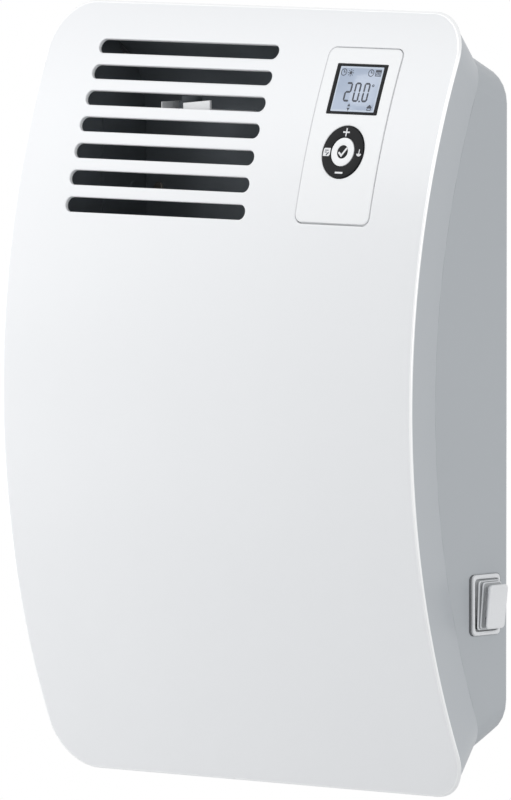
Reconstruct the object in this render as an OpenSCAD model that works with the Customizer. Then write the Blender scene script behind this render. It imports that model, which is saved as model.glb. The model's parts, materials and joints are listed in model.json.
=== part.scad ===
// Wall-hung convector heater. Millimetres, +Z up, the wall is the plane y = 0 and the front faces -Y.
// The origin is the centre of the wall bracket's four screw holes, on the wall.

/* [Front cover] */
// Width of the bowed front
cover_w = 330; // [310:1:350]
// Height of the bowed front, straight from its bottom edge to its top edge
cover_h = 470; // [455:1:485]
// Radius of the bow, about an axis across the heater
front_r = 525; // [480:1:600]
// Thickness of the cover
cover_t = 2.5; // [1.8:0.1:3]
// Corner radius at the top of the front
corner_top_r = 33; // [26:1:38]
// Corner radius at the bottom of the front
corner_low_r = 33; // [28:1:40]
// Radius of the rolled rim
rim_r = 2.2; // [1.5:0.1:3]
// Depth of the skirt from the rim to the crease, measured square to the front
skirt_depth = 36.2; // [32:0.1:40]

/* [Body] */
// Depth from the back panel to the crown of the front
body_depth = 103; // [98:1:110]
// Width of the body at its flat sides
body_w = 304; // [298:1:310]
// Height of the body at the crease
body_h = 420.4; // [414:0.1:426]
// Height of the back panel
back_h = 400.6; // [396:0.1:406]
// Corner radius of the body
body_corner_r = 22; // [16:1:26]
// Thickness of the body sheet
wall_t = 2; // [1.5:0.1:2.4]
// Space between the back panel and the wall
wall_gap = 10; // [8:0.5:14]
// Length of the locating tongue inside the body
tongue_len = 8; // [6:0.5:9]

/* [Outlet slots] */
// Number of slots
slot_count = 7; // [5:1:8]
// Length of a slot over its round ends
slot_len = 145.3; // [120:0.1:150]
// Height of a slot
slot_h = 9.3; // [7:0.1:10]
// Distance from slot to slot along the bow
slot_pitch = 16.7; // [15:0.1:17.5]
// Middle of the slots, across the heater
slot_x = -50.8; // [-54:0.1:-46]
// Distance along the bow from the top edge to the upper edge of the first slot
panel_drop = 25; // [20:0.1:32]

/* [Control panel] */
// Width of the control panel
fascia_w = 58; // [56:0.5:62]
// Height of the control panel along the bow
fascia_h = 109.5; // [106:0.5:114]
// Corner radius of the control panel
fascia_r = 5; // [3:0.5:8]
// Thickness of the control panel
fascia_t = 2; // [1.6:0.1:2.3]
// Middle of the control panel, across the heater
fascia_x = 91.5; // [89:0.5:94]
// Gap round the control panel
seam = 0.4; // [0.3:0.05:0.7]
// Width of the display frame
lcd_w = 40; // [37:0.5:42]
// Height of the display frame
lcd_h = 31.8; // [29:0.1:33]
// Width of the display pane
pane_w = 34.4; // [31:0.1:35]
// Height of the display pane
pane_h = 28.6; // [26:0.1:29]
// Distance from the panel's upper edge to the middle of the display
lcd_drop = 26.1; // [24:0.1:28]
// Distance from the panel's upper edge to the middle of the ring
ring_drop = 65.4; // [63:0.1:68]
// Outer radius of the four-way ring
ring_r = 16.45; // [15:0.05:18]
// Radius of the middle key
key_r = 8.55; // [7.5:0.05:9.5]
// Radius of the dark inlay in the middle key
inlay_r = 4.1; // [3:0.1:5]
// Travel of the middle key
key_travel = 0.8; // [0.5:0.1:0.8]

/* [Switch] */
// Width of the switch frame, front to back
switch_w = 25; // [23:0.5:26]
// Height of the switch frame
switch_h = 36.5; // [34:0.5:40]
// Height of the middle of the switch below the origin
switch_z = -120.2; // [-125:0.1:-115]
// Distance from the back panel to the middle of the switch
switch_out = 21.2; // [20:0.1:23]
// Tilt of the cap from its middle position
switch_tilt = 4; // [3:0.5:4.5]

/* [Wall bracket] */
// Distance across between the screw holes
hole_dx = 180; // [170:1:190]
// Distance up between the screw holes
hole_dz = 270; // [262:1:276]
// Diameter of a screw hole
hole_d = 6; // [4.5:0.1:7]
// Thickness of the bracket sheet
bracket_t = 2; // [1.5:0.1:2.5]
// Width of the bracket
bracket_w = 208; // [204:1:216]
// Height of the bracket
bracket_h = 300; // [294:1:306]
// Height of the upper and lower rails
rail_h = 28; // [26:1:32]
// Width of a hook
hook_w = 16; // [12:1:20]
// Height of a hook's lip above its arm
lip_h = 9; // [7:0.5:10]
// How far the heater lifts to come off the hooks
lift = 12; // [11:0.5:13]
// Distance of a hook from the middle
hook_x = 60; // [50:1:70]

/* [Heating element] */
// Number of fins
fin_count = 20; // [14:1:22]
// Distance from fin to fin
fin_pitch = 6.4; // [6:0.1:6.8]
// Thickness of a fin
fin_t = 0.8; // [0.5:0.1:1.2]
// Height of a fin
fin_h = 62; // [54:1:70]
// Depth of a fin, front to back
fin_d = 44; // [38:1:46]
// Radius of the sheathed rod
rod_r = 4.25; // [3.2:0.05:5]
// Half the distance between the legs of the rod
leg_z = 14; // [12:0.5:17]
// Height of the element's middle below the origin
element_z = -105; // [-112:1:-98]

/* [Inside] */
// Distance from the middle to the partition between the duct and the electrics
partition_x = 41; // [39:0.5:43]
// Distance from the back panel to the heat shield
shield_off = 6; // [5:0.5:8]
// Radius of the air deflector at the top of the heat shield
deflector_r = 46; // [40:1:50]
// Clearance between pieces that are seated
seat = 0.3; // [0.2:0.05:0.4]

/* [Hidden] */
$fn = 48;

// Smoothness of the long bows
bow_fn = 480;
axis_y = front_r - body_depth - wall_gap;
back_y = -wall_gap;
inner_back_y = back_y - wall_t;
crease_r = front_r - skirt_depth;
skirt_x = (cover_w - body_w) / 2;
skirt_z = (cover_h - body_h) / 2;
back_rise = (body_h - back_h) / 2;
crease_y = axis_y - sqrt(crease_r * crease_r - body_h * body_h / 4);
edge_y = axis_y - sqrt(front_r * front_r - cover_h * cover_h / 4);
// The skirt leaves the rim's roll here, as distances inwards from the edge and behind the front
band_low = 0.12;
flare_a = atan(skirt_x / skirt_depth);
roll_n = rim_r * (1 - cos(flare_a));
roll_p = rim_r + (rim_r - band_low) * sin(flare_a);
roll_z = cover_h / 2 - roll_n;
roll_y = axis_y - sqrt(pow(front_r - roll_p, 2) - roll_z * roll_z);
// Angles of the slanted top and bottom faces: of the body, and of the skirt
body_slope = atan(back_rise / (back_y - crease_y));
skirt_slope = atan((roll_z - body_h / 2) / (crease_y - roll_y));
// How much the body's slanted face rises while the tongue goes in by one millimetre
tongue_rise = tan(body_slope) * crease_r / sqrt(crease_r * crease_r - body_h * body_h / 4);

// Places along the bow, as arc lengths from the crown
top_arc = front_r * asin(cover_h / 2 / front_r) * PI / 180;
panel_top = top_arc - panel_drop;
fascia_arc = panel_top - fascia_h / 2;
lcd_arc = panel_top - lcd_drop;
ring_arc = panel_top - ring_drop;

side_x = body_w / 2;
switch_y = back_y - switch_out;
shield_y = inner_back_y - shield_off;
sheet_t = 1;
partition_t = 1.2;
duct_left = slot_x - slot_len / 2 - 8.5;
duct_right = partition_x - seat;

// Depths behind the face of the four-way ring
ring_proud = 0.5;
flange_top = fascia_t + 1.4;
ring_base = flange_top + 0.8;
ridge_r = 0.8;
frame_top = ring_base + seat + 0.7;
frame_base = frame_top + 1;
mat_top = frame_base + seat + 0.7;
mat_base = mat_top + 1.2;
board_top = mat_base + 0.6;
board_t = 1.6;
board_screw_x = fascia_w / 2 - 6.5;
board_screw_z = fascia_h / 2 - 5.5;
box_wall = 1.5;
box_w = fascia_w - 1;
box_h = fascia_h - 1;
box_depth = board_top + 12.5;
// Socket of the ribbon cable on the back of the display board
socket_z = -box_h / 2 + 15;
socket_top = board_top + board_t + 5;

element_off = 38;
element_y = shield_y - sheet_t - element_off;
fins_right = partition_x - 6;
fins_left = fins_right - (fin_count - 1) * fin_pitch;
bend_x = fins_left - 4;

// Moves a shape to the front face: local z runs up along the bow and local y runs inwards
module on_front(arc, x = 0) {
    translate([x, axis_y, 0]) rotate([-arc / front_r * 180 / PI, 0, 0]) translate([0, -front_r, 0])
        children();
}

// Moves a shape to the body's slanted bottom face: local z runs inwards
module on_bottom(x = 0) {
    translate([x, (back_y + crease_y) / 2, -(body_h + back_h) / 4]) rotate([body_slope, 0, 0])
        children();
}

// Moves a shape to the skirt's slanted bottom face: local z runs inwards
module on_skirt(x = 0) {
    translate([x, (roll_y + crease_y) / 2, -(roll_z + body_h / 2) / 2]) rotate([skirt_slope, 0, 0])
        children();
}

// Solid cylinder about the axis of the bow
module bow(r, w, x = 0) {
    translate([x - w / 2, axis_y, 0]) rotate([0, 90, 0]) cylinder(r = r, h = w, $fn = bow_fn);
}

// Plate with rounded corners, standing in the x-z plane, from y0 inwards by t
module plate(w, h, r, y0, t) {
    translate([0, y0 + t, 0]) rotate([90, 0, 0]) linear_extrude(t) rounded(w, h, r);
}

module rounded(w, h, r) {
    if (r > 0) {
        square([w - 2 * r, h], center = true);
        square([w, h - 2 * r], center = true);
        for (x = [-1, 1], z = [-1, 1]) translate([x * (w / 2 - r), z * (h / 2 - r)]) circle(r);
    } else square([w, h], center = true);
}

// Cylinder along y, from y0 inwards by h
module peg(r, y0, h, x = 0, z = 0) {
    translate([x, y0 + h, z]) rotate([90, 0, 0]) cylinder(r = r, h = h);
}

module box(x0, x1, y0, y1, z0, z1) {
    translate([x0, y0, z0]) cube([x1 - x0, y1 - y0, z1 - z0]);
}

// Outline of a front or body section as x-z points: one side, then round the corners
corner_steps = 6;
side_steps = 16;
function corner(cx, cz, r, from) =
    [for (i = [0 : corner_steps]) let (a = from + 90 * i / corner_steps) [cx + r * cos(a), cz + r * sin(a)]];
function side(x, z0, z1) = [for (i = [1 : side_steps - 1]) [x, z0 + (z1 - z0) * i / side_steps]];
function outline(w, h, rt, rl) = concat(
    side(w / 2, -h / 2 + rl, h / 2 - rt), corner(w / 2 - rt, h / 2 - rt, rt, 0),
    corner(-w / 2 + rt, h / 2 - rt, rt, 90), side(-w / 2, h / 2 - rt, -h / 2 + rl),
    corner(-w / 2 + rl, -h / 2 + rl, rl, 180), corner(w / 2 - rl, -h / 2 + rl, rl, 270));
ring_n = len(outline(10, 10, 1, 1));

// Lays an outline on the cylinder of radius r about the axis of the bow
function on_bow(pts, r) = [for (p = pts) [p[0], axis_y - sqrt(r * r - p[1] * p[1]), p[1]]];
function on_plane(pts, y) = [for (p = pts) [p[0], y, p[1]]];

// Joins rings of equal length into a skin, one quad to each pair of points
function quads(rings, n, closed) = [for (k = [0 : rings - (closed ? 1 : 2)], i = [0 : n - 1])
    let (a = k * n, b = ((k + 1) % rings) * n, j = (i + 1) % n) each
    [[a + i, a + j, b + j], [a + i, b + j, b + i]]];
function flat_list(rings) = [for (r = rings) each r];

// Section of the rim and skirt as [inset across, inset up, depth behind the front]
flare_in = cover_t / cos(flare_a);
rise_in = cover_t / cos(atan(skirt_z / skirt_depth));
rim_steps = 5;
function inner_n(p) = skirt_x * p / skirt_depth + flare_in;
function inner_up(p) = skirt_z * p / skirt_depth + rise_in;
function rim_arc() = [for (i = [0 : rim_steps]) let (a = 90 + (90 + flare_a) * i / rim_steps)
    let (n = rim_r + rim_r * cos(a), p = rim_r - (rim_r - band_low) * sin(a)) [n, n, p]];
tongue_n = skirt_x + wall_t + seat;
tongue_t = 1.8;
skirt_section = concat([[9, 9, band_low]], rim_arc(), [
    [skirt_x, skirt_z, skirt_depth],
    [tongue_n, skirt_z + wall_t + seat, skirt_depth],
    [tongue_n, skirt_z + wall_t + seat + tongue_rise * tongue_len, skirt_depth + tongue_len],
    [tongue_n + tongue_t, skirt_z + wall_t + seat + tongue_t + tongue_rise * tongue_len,
        skirt_depth + tongue_len],
    [tongue_n + tongue_t, skirt_z + wall_t + seat + tongue_t, skirt_depth - 0.5],
    [inner_n(skirt_depth - 4), inner_up(skirt_depth - 4), skirt_depth - 4],
    [inner_n(cover_t + 2), inner_up(cover_t + 2), cover_t + 2],
    [inner_n(cover_t + 2) + 1.5, inner_up(cover_t + 2) + 1.5, cover_t - band_low - 0.2],
    [9, 9, cover_t - band_low - 0.2]]);
function ring_at(s) = let (k = min(1, s[0] / skirt_x), over = max(0, s[0] - skirt_x),
    rt = corner_top_r + (body_corner_r - corner_top_r) * k - over,
    rl = corner_low_r + (body_corner_r - corner_low_r) * k - over)
    on_bow(outline(cover_w - 2 * s[0], cover_h - 2 * s[1], rt, rl), front_r - s[2]);

// Rim, skirt and tongue of the cover, as one closed band round the front
module skirt_band() {
    rings = [for (s = skirt_section) ring_at(s)];
    polyhedron(flat_list(rings), quads(len(rings), ring_n, true), convexity = 6);
}

// Bowed sheet of the front, inside the rim
module front_sheet() {
    inset = rim_r + 0.3;
    intersection() {
        difference() {
            bow(front_r, cover_w);
            bow(front_r - cover_t, cover_w + 2);
        }
        translate([0, axis_y - front_r + 80, 0]) rotate([90, 0, 0]) linear_extrude(100)
            union() {
            w = cover_w - 2 * inset;
            h = cover_h - 2 * inset;
            rt = corner_top_r - inset;
            rl = corner_low_r - inset;
            square([w, h - 2 * corner_low_r], center = true);
            translate([-w / 2 + rl, -h / 2]) square([w - 2 * rl, h / 2]);
            translate([-w / 2 + rt, 0]) square([w - 2 * rt, h / 2]);
            translate([-w / 2, 0]) square([w, h / 2 - rt]);
            translate([-w / 2, -h / 2 + rl]) square([w, h / 2 - rl]);
            for (x = [-1, 1]) {
                translate([x * (w / 2 - rt), h / 2 - rt]) circle(rt, $fn = 96);
                translate([x * (w / 2 - rl), -h / 2 + rl]) circle(rl, $fn = 96);
            }
        }
    }
}

// Screw lug that the cover reaches into the body with
lug_w = 18;
module lug() {
    z0 = wall_t + seat;
    box(-lug_w / 2, lug_w / 2, -9, 7, z0, z0 + 2.4);
}

screw_x = 70;
screw_y = 3;
module front_cover() color("white") {
    difference() {
        front_sheet();
        for (i = [0 : slot_count - 1]) on_front(panel_top - slot_h / 2 - i * slot_pitch, slot_x)
            plate(slot_len, slot_h, slot_h / 2 - 0.001, -5, 12);
        on_front(fascia_arc, fascia_x)
            plate(fascia_w + 2 * seam, fascia_h + 2 * seam, fascia_r + seam, -6, 14);
    }
    difference() {
        skirt_band();
        on_skirt() translate([0, 0, -4]) linear_extrude(14) rounded(intake_w, intake_d, intake_r);
        on_bottom(gland_x) cylinder(r = gland_r + 3, h = wall_t + 12);
    }
    for (x = [-1, 1], up = [0, 1]) mirror([0, 0, up]) on_bottom(x * screw_x) difference() {
        lug();
        if (up == 0) translate([0, screw_y, -2]) cylinder(r = screw_r, h = 12);
    }
}

screw_r = 1.7;
// Heads and flanges on the slanted bottom stand off by this much, past the lip at the crease
head_up = seat * sin(body_slope) + 0.05;
module cover_screws() color("silver") for (x = [-1, 1]) on_bottom(x * screw_x) translate([0, screw_y, 0]) {
    translate([0, 0, -head_up - 1.8]) cylinder(r = 3.4, h = 1.8);
    translate([0, 0, -head_up - 0.01]) cylinder(r = screw_r - 0.02, h = 8);
}

// Inlet grille in the slanted underside of the skirt
intake_w = 212;
intake_d = 21;
intake_slot = 3.8;
intake_pitch = 7.6;
intake_lip = 4;
intake_r = 4;
// Thickness of the skirt's underside, the larger of its front and back, where the grille's lip lies on it
function in_skirt(n, p) = let (z = cover_h / 2 - n, y = axis_y - sqrt(pow(front_r - p, 2) - z * z))
    (roll_z - z) * cos(skirt_slope) - (y - roll_y) * sin(skirt_slope);
intake_t = seat + max(in_skirt(inner_up(cover_t + 2), cover_t + 2),
    in_skirt(inner_up(skirt_depth - 4), skirt_depth - 4));
module intake_grille() color("whitesmoke") on_skirt() difference() {
    union() {
        linear_extrude(intake_t + 1) rounded(intake_w - 2 * seam, intake_d - 2 * seam, intake_r - seam);
        translate([0, 0, intake_t]) linear_extrude(1.5)
            rounded(intake_w + intake_lip, intake_d + intake_lip, intake_r + 1);
    }
    for (i = [-13 : 13]) translate([i * intake_pitch, 0, -1]) linear_extrude(intake_t + 4)
        rounded(intake_slot, intake_d - 6, intake_slot / 2 - 0.001);
}

// Body shell: its walls are lofted from the crease to the smaller back panel and turn in under it
back_round = 1.6;
foot_low = 0.15;
foot_w = 6;
function back_outline(inset) = let (r = body_corner_r - inset)
    outline(body_w - 2 * inset, back_h - 2 * inset + 2 * tan(body_slope) * back_round, r, r);
module body_walls() {
    lip_r = crease_r - seat;
    inner_r = body_corner_r - wall_t;
    rings = [on_plane(back_outline(foot_w), back_y - foot_low),
        on_plane(back_outline(foot_w), inner_back_y + foot_low),
        on_plane(back_outline(wall_t), inner_back_y + foot_low),
        on_bow(outline(body_w - 2 * wall_t, body_h - 2 * wall_t, inner_r, inner_r), lip_r),
        on_bow(outline(body_w, body_h, body_corner_r, body_corner_r), lip_r),
        on_plane(back_outline(0), back_y - back_round),
        on_plane(back_outline(back_round * 0.3), back_y - back_round * 0.3),
        on_plane(back_outline(back_round * 1.2), back_y - foot_low)];
    polyhedron(flat_list(rings), quads(len(rings), ring_n, true), convexity = 6);
}

bead_x = 26;
bead_w = 7;
bead_h = 240;
boss_r = 6;
boss_z = [-150, 120];
boss_dx = 12;
pad_x = 104;
pad_r = 10;
// The pads stay below the bracket when the heater is lifted
pad_z = -(bracket_h / 2 + lift + pad_r + 3);
stem_r = 3;
gland_x = 100;
gland_r = 7;
switch_hole_w = switch_w - 5;
switch_hole_h = switch_h - 7;
earth_x = 118;
earth_z = -168;
// Heights of the hook arms, and the slots in the back panel that they pass
arm_z = [hole_dz / 2 - 7, -hole_dz / 2 - 9];
slot_side = 1;
module back_panel() difference() {
    floor_in = foot_w * 0.6;
    union() {
        plate(body_w - 2 * floor_in, back_h - 2 * floor_in, body_corner_r - floor_in, inner_back_y, wall_t);
        for (x = [-1, 1]) translate([x * bead_x, 0, 0])
            plate(bead_w, bead_h, bead_w / 2 - 0.001, back_y - 0.5, 1.7);
        for (x = [duct_left + boss_dx, duct_right - boss_dx], z = boss_z)
            peg(boss_r, shield_y, shield_off + 0.5, x, z);
    }
    for (x = [-1, 1], z = arm_z)
        box(x * hook_x - hook_w / 2 - slot_side, x * hook_x + hook_w / 2 + slot_side,
            inner_back_y - 1, back_y + 1, z - lift - 1, z + bracket_t + 0.1);
    for (x = [duct_left + boss_dx, duct_right - boss_dx], z = boss_z)
        peg(screw_r, shield_y - 1, shield_off + 0.2, x, z);
    for (x = [-1, 1]) peg(stem_r + 0.05, inner_back_y - 1, wall_t + 2, x * pad_x, pad_z);
    peg(2.05, inner_back_y - 1, wall_t + 2, earth_x, earth_z);
}

module rear_housing() color("gainsboro") {
    back_panel();
    difference() {
        body_walls();
        for (x = [-1, 1]) on_bottom(x * screw_x) translate([0, screw_y, -2])
            cylinder(r = screw_r + 0.3, h = 12);
        on_bottom(gland_x) translate([0, 0, -2]) cylinder(r = gland_r + 0.05, h = wall_t + 5);
        translate([side_x - wall_t - 1, switch_y - switch_hole_w / 2, switch_z - switch_hole_h / 2])
            cube([wall_t + 2, switch_hole_w, switch_hole_h]);
    }
}

// Pads that keep the lower back off the wall
module wall_pads() color("dimgray") for (x = [-1, 1]) {
    difference() {
        peg(pad_r, back_y, wall_gap - seat, x * pad_x, pad_z);
        peg(pad_r - 3, -1.5, 3, x * pad_x, pad_z);
    }
    peg(stem_r, inner_back_y - 1, wall_t + 1.01, x * pad_x, pad_z);
    peg(stem_r + 1.5, inner_back_y - 2, 1.9, x * pad_x, pad_z);
}

// Sheet bracket with four hooks; the heater hangs on their arms
post_w = 26;
module hook(x, z) {
    tip = inner_back_y - 2.6;
    box(x - hook_w / 2, x + hook_w / 2, tip, -bracket_t / 2, z, z + bracket_t);
    box(x - hook_w / 2, x + hook_w / 2, tip, tip + bracket_t, z, z + bracket_t + lip_h);
}
module wall_bracket() color("lightgray") difference() {
    union() {
        plate(bracket_w, bracket_h, 8, -bracket_t, bracket_t);
        for (x = [-1, 1], z = arm_z) hook(x * hook_x, z);
        for (x = [-1, 1]) box(x * (bracket_w / 2 - 1) - 1, x * (bracket_w / 2 - 1) + 1,
            -bracket_t - 4, -bracket_t / 2, -bracket_h / 2 + rail_h, bracket_h / 2 - rail_h);
    }
    plate(bracket_w - 2 * post_w, bracket_h - 2 * rail_h, 6, -bracket_t - 1, bracket_t + 2);
    for (x = [-1, 1], z = [-1, 1]) peg(hole_d / 2, -bracket_t - 1, bracket_t + 2, x * hole_dx / 2,
        z * hole_dz / 2);
}

// Heat shield: a sheet behind the element that turns forward to just above the top slot, to steer the air
shield_low = -back_h / 2 + 12;
deflector_a = 80;
slot_top_z = front_r * sin(panel_top / front_r * 180 / PI);
shield_top = slot_top_z + 2.3 - deflector_r * sin(deflector_a);
flange_d = 40;
module heat_shield() color("slategray") difference() {
    w = duct_right - duct_left;
    union() {
        box(duct_left, duct_right, shield_y - sheet_t, shield_y, shield_low, shield_top);
        translate([duct_left, shield_y - deflector_r, shield_top]) rotate([90, 0, 90])
            rotate_sheet(w);
        box(duct_left, duct_left + sheet_t, shield_y - flange_d, shield_y - 0.5, shield_low, shield_top);
    }
    for (x = [duct_left + boss_dx, duct_right - boss_dx], z = boss_z)
        peg(screw_r + 0.3, shield_y - 3, 5, x, z);
    for (z = rivet_z) translate([duct_left - 1, rivet_y, z]) rotate([0, 90, 0]) cylinder(r = rivet_r, h = 3);
}

// Left wall of the hot duct, riveted to the shield's flange and cut to follow the bow of the front
rivet_y = shield_y - 13;
rivet_z = [121, 20, -60, -150];
rivet_r = 1.5;
module duct_side() color("slategray") difference() {
    intersection() {
        translate([duct_left - sheet_t, 0, 0]) rotate([90, 0, 90]) linear_extrude(sheet_t)
            polygon([[shield_y, shield_low], [shield_y, body_h / 2 - 14], [crease_y - 6, body_h / 2 - 12],
                [edge_y + 12, slot_top_z], [edge_y - 60, slot_top_z], [edge_y - 60, shield_low]]);
        bow(front_r - cover_t - 2, cover_w);
    }
    for (z = rivet_z) translate([duct_left - 2, rivet_y, z]) rotate([0, 90, 0]) cylinder(r = rivet_r, h = 3);
}

module duct_rivets() color("silver") for (z = rivet_z) translate([duct_left, rivet_y, z])
    rotate([0, 90, 0]) {
        translate([0, 0, sheet_t]) cylinder(r1 = 3, r2 = 2.2, h = 1);
        translate([0, 0, -sheet_t - 0.01]) cylinder(r = rivet_r - 0.02, h = 2 * sheet_t + 0.02);
        translate([0, 0, -sheet_t - 1]) cylinder(r1 = 2, r2 = 2.6, h = 1);
    }

// Arc of sheet in the plane square to x, extruded across the duct
module rotate_sheet(w) {
    linear_extrude(w) intersection() {
        difference() {
            circle(deflector_r, $fn = 144);
            circle(deflector_r - sheet_t, $fn = 144);
        }
        polygon([[0, 0], [deflector_r * 2, 0], [deflector_r * 2, deflector_r * 2],
            [2 * deflector_r * cos(deflector_a), 2 * deflector_r * sin(deflector_a)]]);
    }
}

module shield_screws() color("silver")
    for (x = [duct_left + boss_dx, duct_right - boss_dx], z = boss_z) {
        peg(3.2, shield_y - sheet_t - 1.8, 1.8, x, z);
        peg(screw_r - 0.02, shield_y - sheet_t - 0.01, 5, x, z);
    }

// Wall between the hot duct and the electrics, cut to follow the bow of the front
rod_hole_r = 7;
module partition_wall() color("lightgray") difference() {
    union() {
        intersection() {
            box(partition_x, partition_x + partition_t, edge_y - 60, inner_back_y, shield_low,
                back_h / 2 - 5);
            bow(front_r - cover_t - 2, cover_w);
        }
        box(partition_x, partition_x + 11, inner_back_y - partition_t, inner_back_y, shield_low,
            back_h / 2 - 12);
    }
    for (s = [-1, 1]) translate([partition_x - 1, element_y, element_z + s * leg_z]) rotate([0, 90, 0])
        cylinder(r = rod_hole_r + 0.1, h = 5);
}

// U-shaped sheathed rod
rod_end = partition_x + 18;
module element_tube() color("darkgray") translate([0, element_y, element_z]) {
    for (s = [-1, 1]) translate([bend_x, 0, s * leg_z]) rotate([0, 90, 0])
        cylinder(r = rod_r, h = rod_end - bend_x);
    translate([bend_x, 0, 0]) rotate([90, 0, 0]) rotate([0, 0, 90]) rotate_extrude(angle = 180)
        translate([leg_z, 0]) circle(rod_r);
}

module fin_section() difference() {
    rounded(fin_h, fin_d, 4);
    for (s = [-1, 1]) translate([s * leg_z, 0]) circle(rod_r + 0.05);
    rounded(6, fin_d * 0.55, 3 - 0.001);
}
module element_fins() color("silver") for (i = [0 : fin_count - 1])
    translate([fins_left + i * fin_pitch - fin_t / 2, element_y, element_z]) rotate([0, 90, 0])
        linear_extrude(fin_t) fin_section();

// Sheet brackets that carry the rod on the heat shield
module element_brackets() color("gray") for (x = [fins_left - 3, fins_right + 2.2]) difference() {
    union() {
        box(x, x + 1.2, element_y - 22, shield_y - sheet_t, element_z - leg_z - 9, element_z + leg_z + 9);
        box(x - 8, x + 1.2, shield_y - sheet_t - 1.2, shield_y - sheet_t, element_z - leg_z - 9,
            element_z + leg_z + 9);
    }
    for (s = [-1, 1]) translate([x - 1, element_y, element_z + s * leg_z]) rotate([0, 90, 0])
        cylinder(r = rod_r + 0.05, h = 4);
}

// Ceramic bushes where the rod passes the partition
module element_bushes() color("white") for (s = [-1, 1])
    translate([partition_x - 2, element_y, element_z + s * leg_z]) rotate([0, 90, 0]) difference() {
        union() {
            cylinder(r = rod_hole_r, h = 9);
            translate([0, 0, 2 + partition_t]) cylinder(r = rod_hole_r + 2.5, h = 2.5);
        }
        translate([0, 0, -1]) cylinder(r = rod_r + 0.05, h = 12);
    }

module element_terminals() color("goldenrod") for (s = [-1, 1])
    translate([rod_end, element_y, element_z + s * leg_z]) {
        rotate([0, 90, 0]) cylinder(r = rod_r - 1, h = 5);
        box(4.9, 13, -0.4, 0.4, -3.15, 3.15);
    }

// White holder and the disc cut-out on it, in the air stream behind the third slot
holder_drop = 39.3;
holder_z = body_h / 2 - holder_drop;
holder_x = -39;
holder_y = axis_y - sqrt(pow(front_r - cover_t, 2) - pow(holder_z + 6, 2)) + 4;
holder_back = shield_y - deflector_r
    + sqrt(pow(deflector_r - sheet_t, 2) - pow(max(0, holder_z + 2 - shield_top), 2)) - seat;
module cutout_holder() color("white") {
    box(holder_x - 30, holder_x + 10.5, holder_y + 2, holder_back, holder_z, holder_z + 2);
    box(holder_x - 10.5, holder_x + 10.5, holder_y, holder_y + 2.01, holder_z, holder_z + 6);
    box(holder_x - 30, holder_x - 28, holder_y + 2, holder_y + 30, holder_z + 1.9, holder_z + 6);
}

module thermal_cutout() color("silver") translate([holder_x - 18, holder_y + 16, holder_z + 2]) {
    cylinder(r = 8, h = 6);
    translate([0, 0, 5.9]) cylinder(r = 6.2, h = 3);
    box(-9.5, 9.5, -12.5, -6, 0, 0.8);
}

module control_fascia() color("whitesmoke") difference() {
    intersection() {
        difference() {
            bow(front_r, fascia_w + 4, fascia_x);
            bow(front_r - fascia_t, fascia_w + 6, fascia_x);
        }
        on_front(fascia_arc, fascia_x) plate(fascia_w, fascia_h, fascia_r, -6, 14);
    }
    on_front(lcd_arc, fascia_x) plate(lcd_w + 0.1, lcd_h + 0.1, 1.2, -3, 8);
    on_front(ring_arc, fascia_x) peg(ring_r + 0.35, -3, 8);
}

// Tray behind the panel: its flange lies behind the cover and its walls reach the panel
module control_box() color("silver") difference() {
    union() {
        intersection() {
            difference() {
                bow(front_r - cover_t - seat, fascia_w + 12, fascia_x);
                bow(front_r - cover_t - seat - 1.6, fascia_w + 14, fascia_x);
            }
            on_front(fascia_arc, fascia_x) plate(fascia_w + 8, fascia_h + 8, fascia_r + 3, -4, 16);
        }
        intersection() {
            on_front(fascia_arc, fascia_x) plate(box_w, box_h, fascia_r - 1, -4, box_depth + 4);
            bow(front_r - fascia_t, fascia_w, fascia_x);
        }
    }
    on_front(fascia_arc, fascia_x) {
        difference() {
            plate(box_w - 2 * box_wall, box_h - 2 * box_wall, 2, -5, box_depth + 5 - box_wall);
            for (x = [-1, 1], z = [-1, 1]) peg(3, board_top + board_t, 20, x * board_screw_x,
                z * board_screw_z);
        }
        for (x = [-1, 1], z = [-1, 1]) peg(1.25, board_top, 9, x * board_screw_x, z * board_screw_z);
        box(-10, 10, box_depth - 4, box_depth + 2, socket_z - 3, socket_z + 3);
    }
}

module lcd_frame() color("#202326") on_front(lcd_arc, fascia_x) difference() {
    plate(lcd_w, lcd_h, 1.2, 0, fascia_t + 0.2);
    plate(pane_w, pane_h, 0.8, -1, fascia_t + 2);
}

module lcd_pane() color("#b9c6cc") on_front(lcd_arc, fascia_x)
    plate(pane_w - 0.1, pane_h - 0.1, 0.8, 0.2, fascia_t);

// The display module is flat, so it lies behind the deepest place of the bowed panel
module_top = fascia_t + seat + pow(lcd_h / 2 + 1, 2) / 2 / front_r;
// The board is flat about the panel's middle, so it comes nearer at the display
board_rise = pow(lcd_arc - fascia_arc, 2) / 2 / front_r + (lcd_arc - fascia_arc) * (lcd_h / 2 + 1) / front_r;
module_base = board_top - board_rise - seat;
module lcd_module() color("dimgray") on_front(lcd_arc, fascia_x) difference() {
    plate(lcd_w - 1, lcd_h + 1.5, 0.5, module_top, module_base - module_top);
    plate(lcd_w - 6, lcd_h - 4, 0.5, module_base - 1, 4);
}

module display_board() color("seagreen") on_front(fascia_arc, fascia_x) difference() {
    union() {
        plate(box_w - 2 * box_wall - 0.6, box_h - 2 * box_wall - 0.6, 1, board_top, board_t);
        box(-9, 9, board_top + board_t - 0.01, socket_top, socket_z - 2.5, socket_z + 2.5);
    }
    for (x = [-1, 1], z = [-1, 1]) peg(1.6, board_top - 1, board_t + 2, x * board_screw_x,
        z * board_screw_z);
}

module board_screws() color("silver") on_front(fascia_arc, fascia_x)
    for (x = [-1, 1], z = [-1, 1]) {
        peg(2.4, board_top - 1.5, 1.5, x * board_screw_x, z * board_screw_z);
        peg(1.23, board_top - 0.01, 8, x * board_screw_x, z * board_screw_z);
    }

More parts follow.
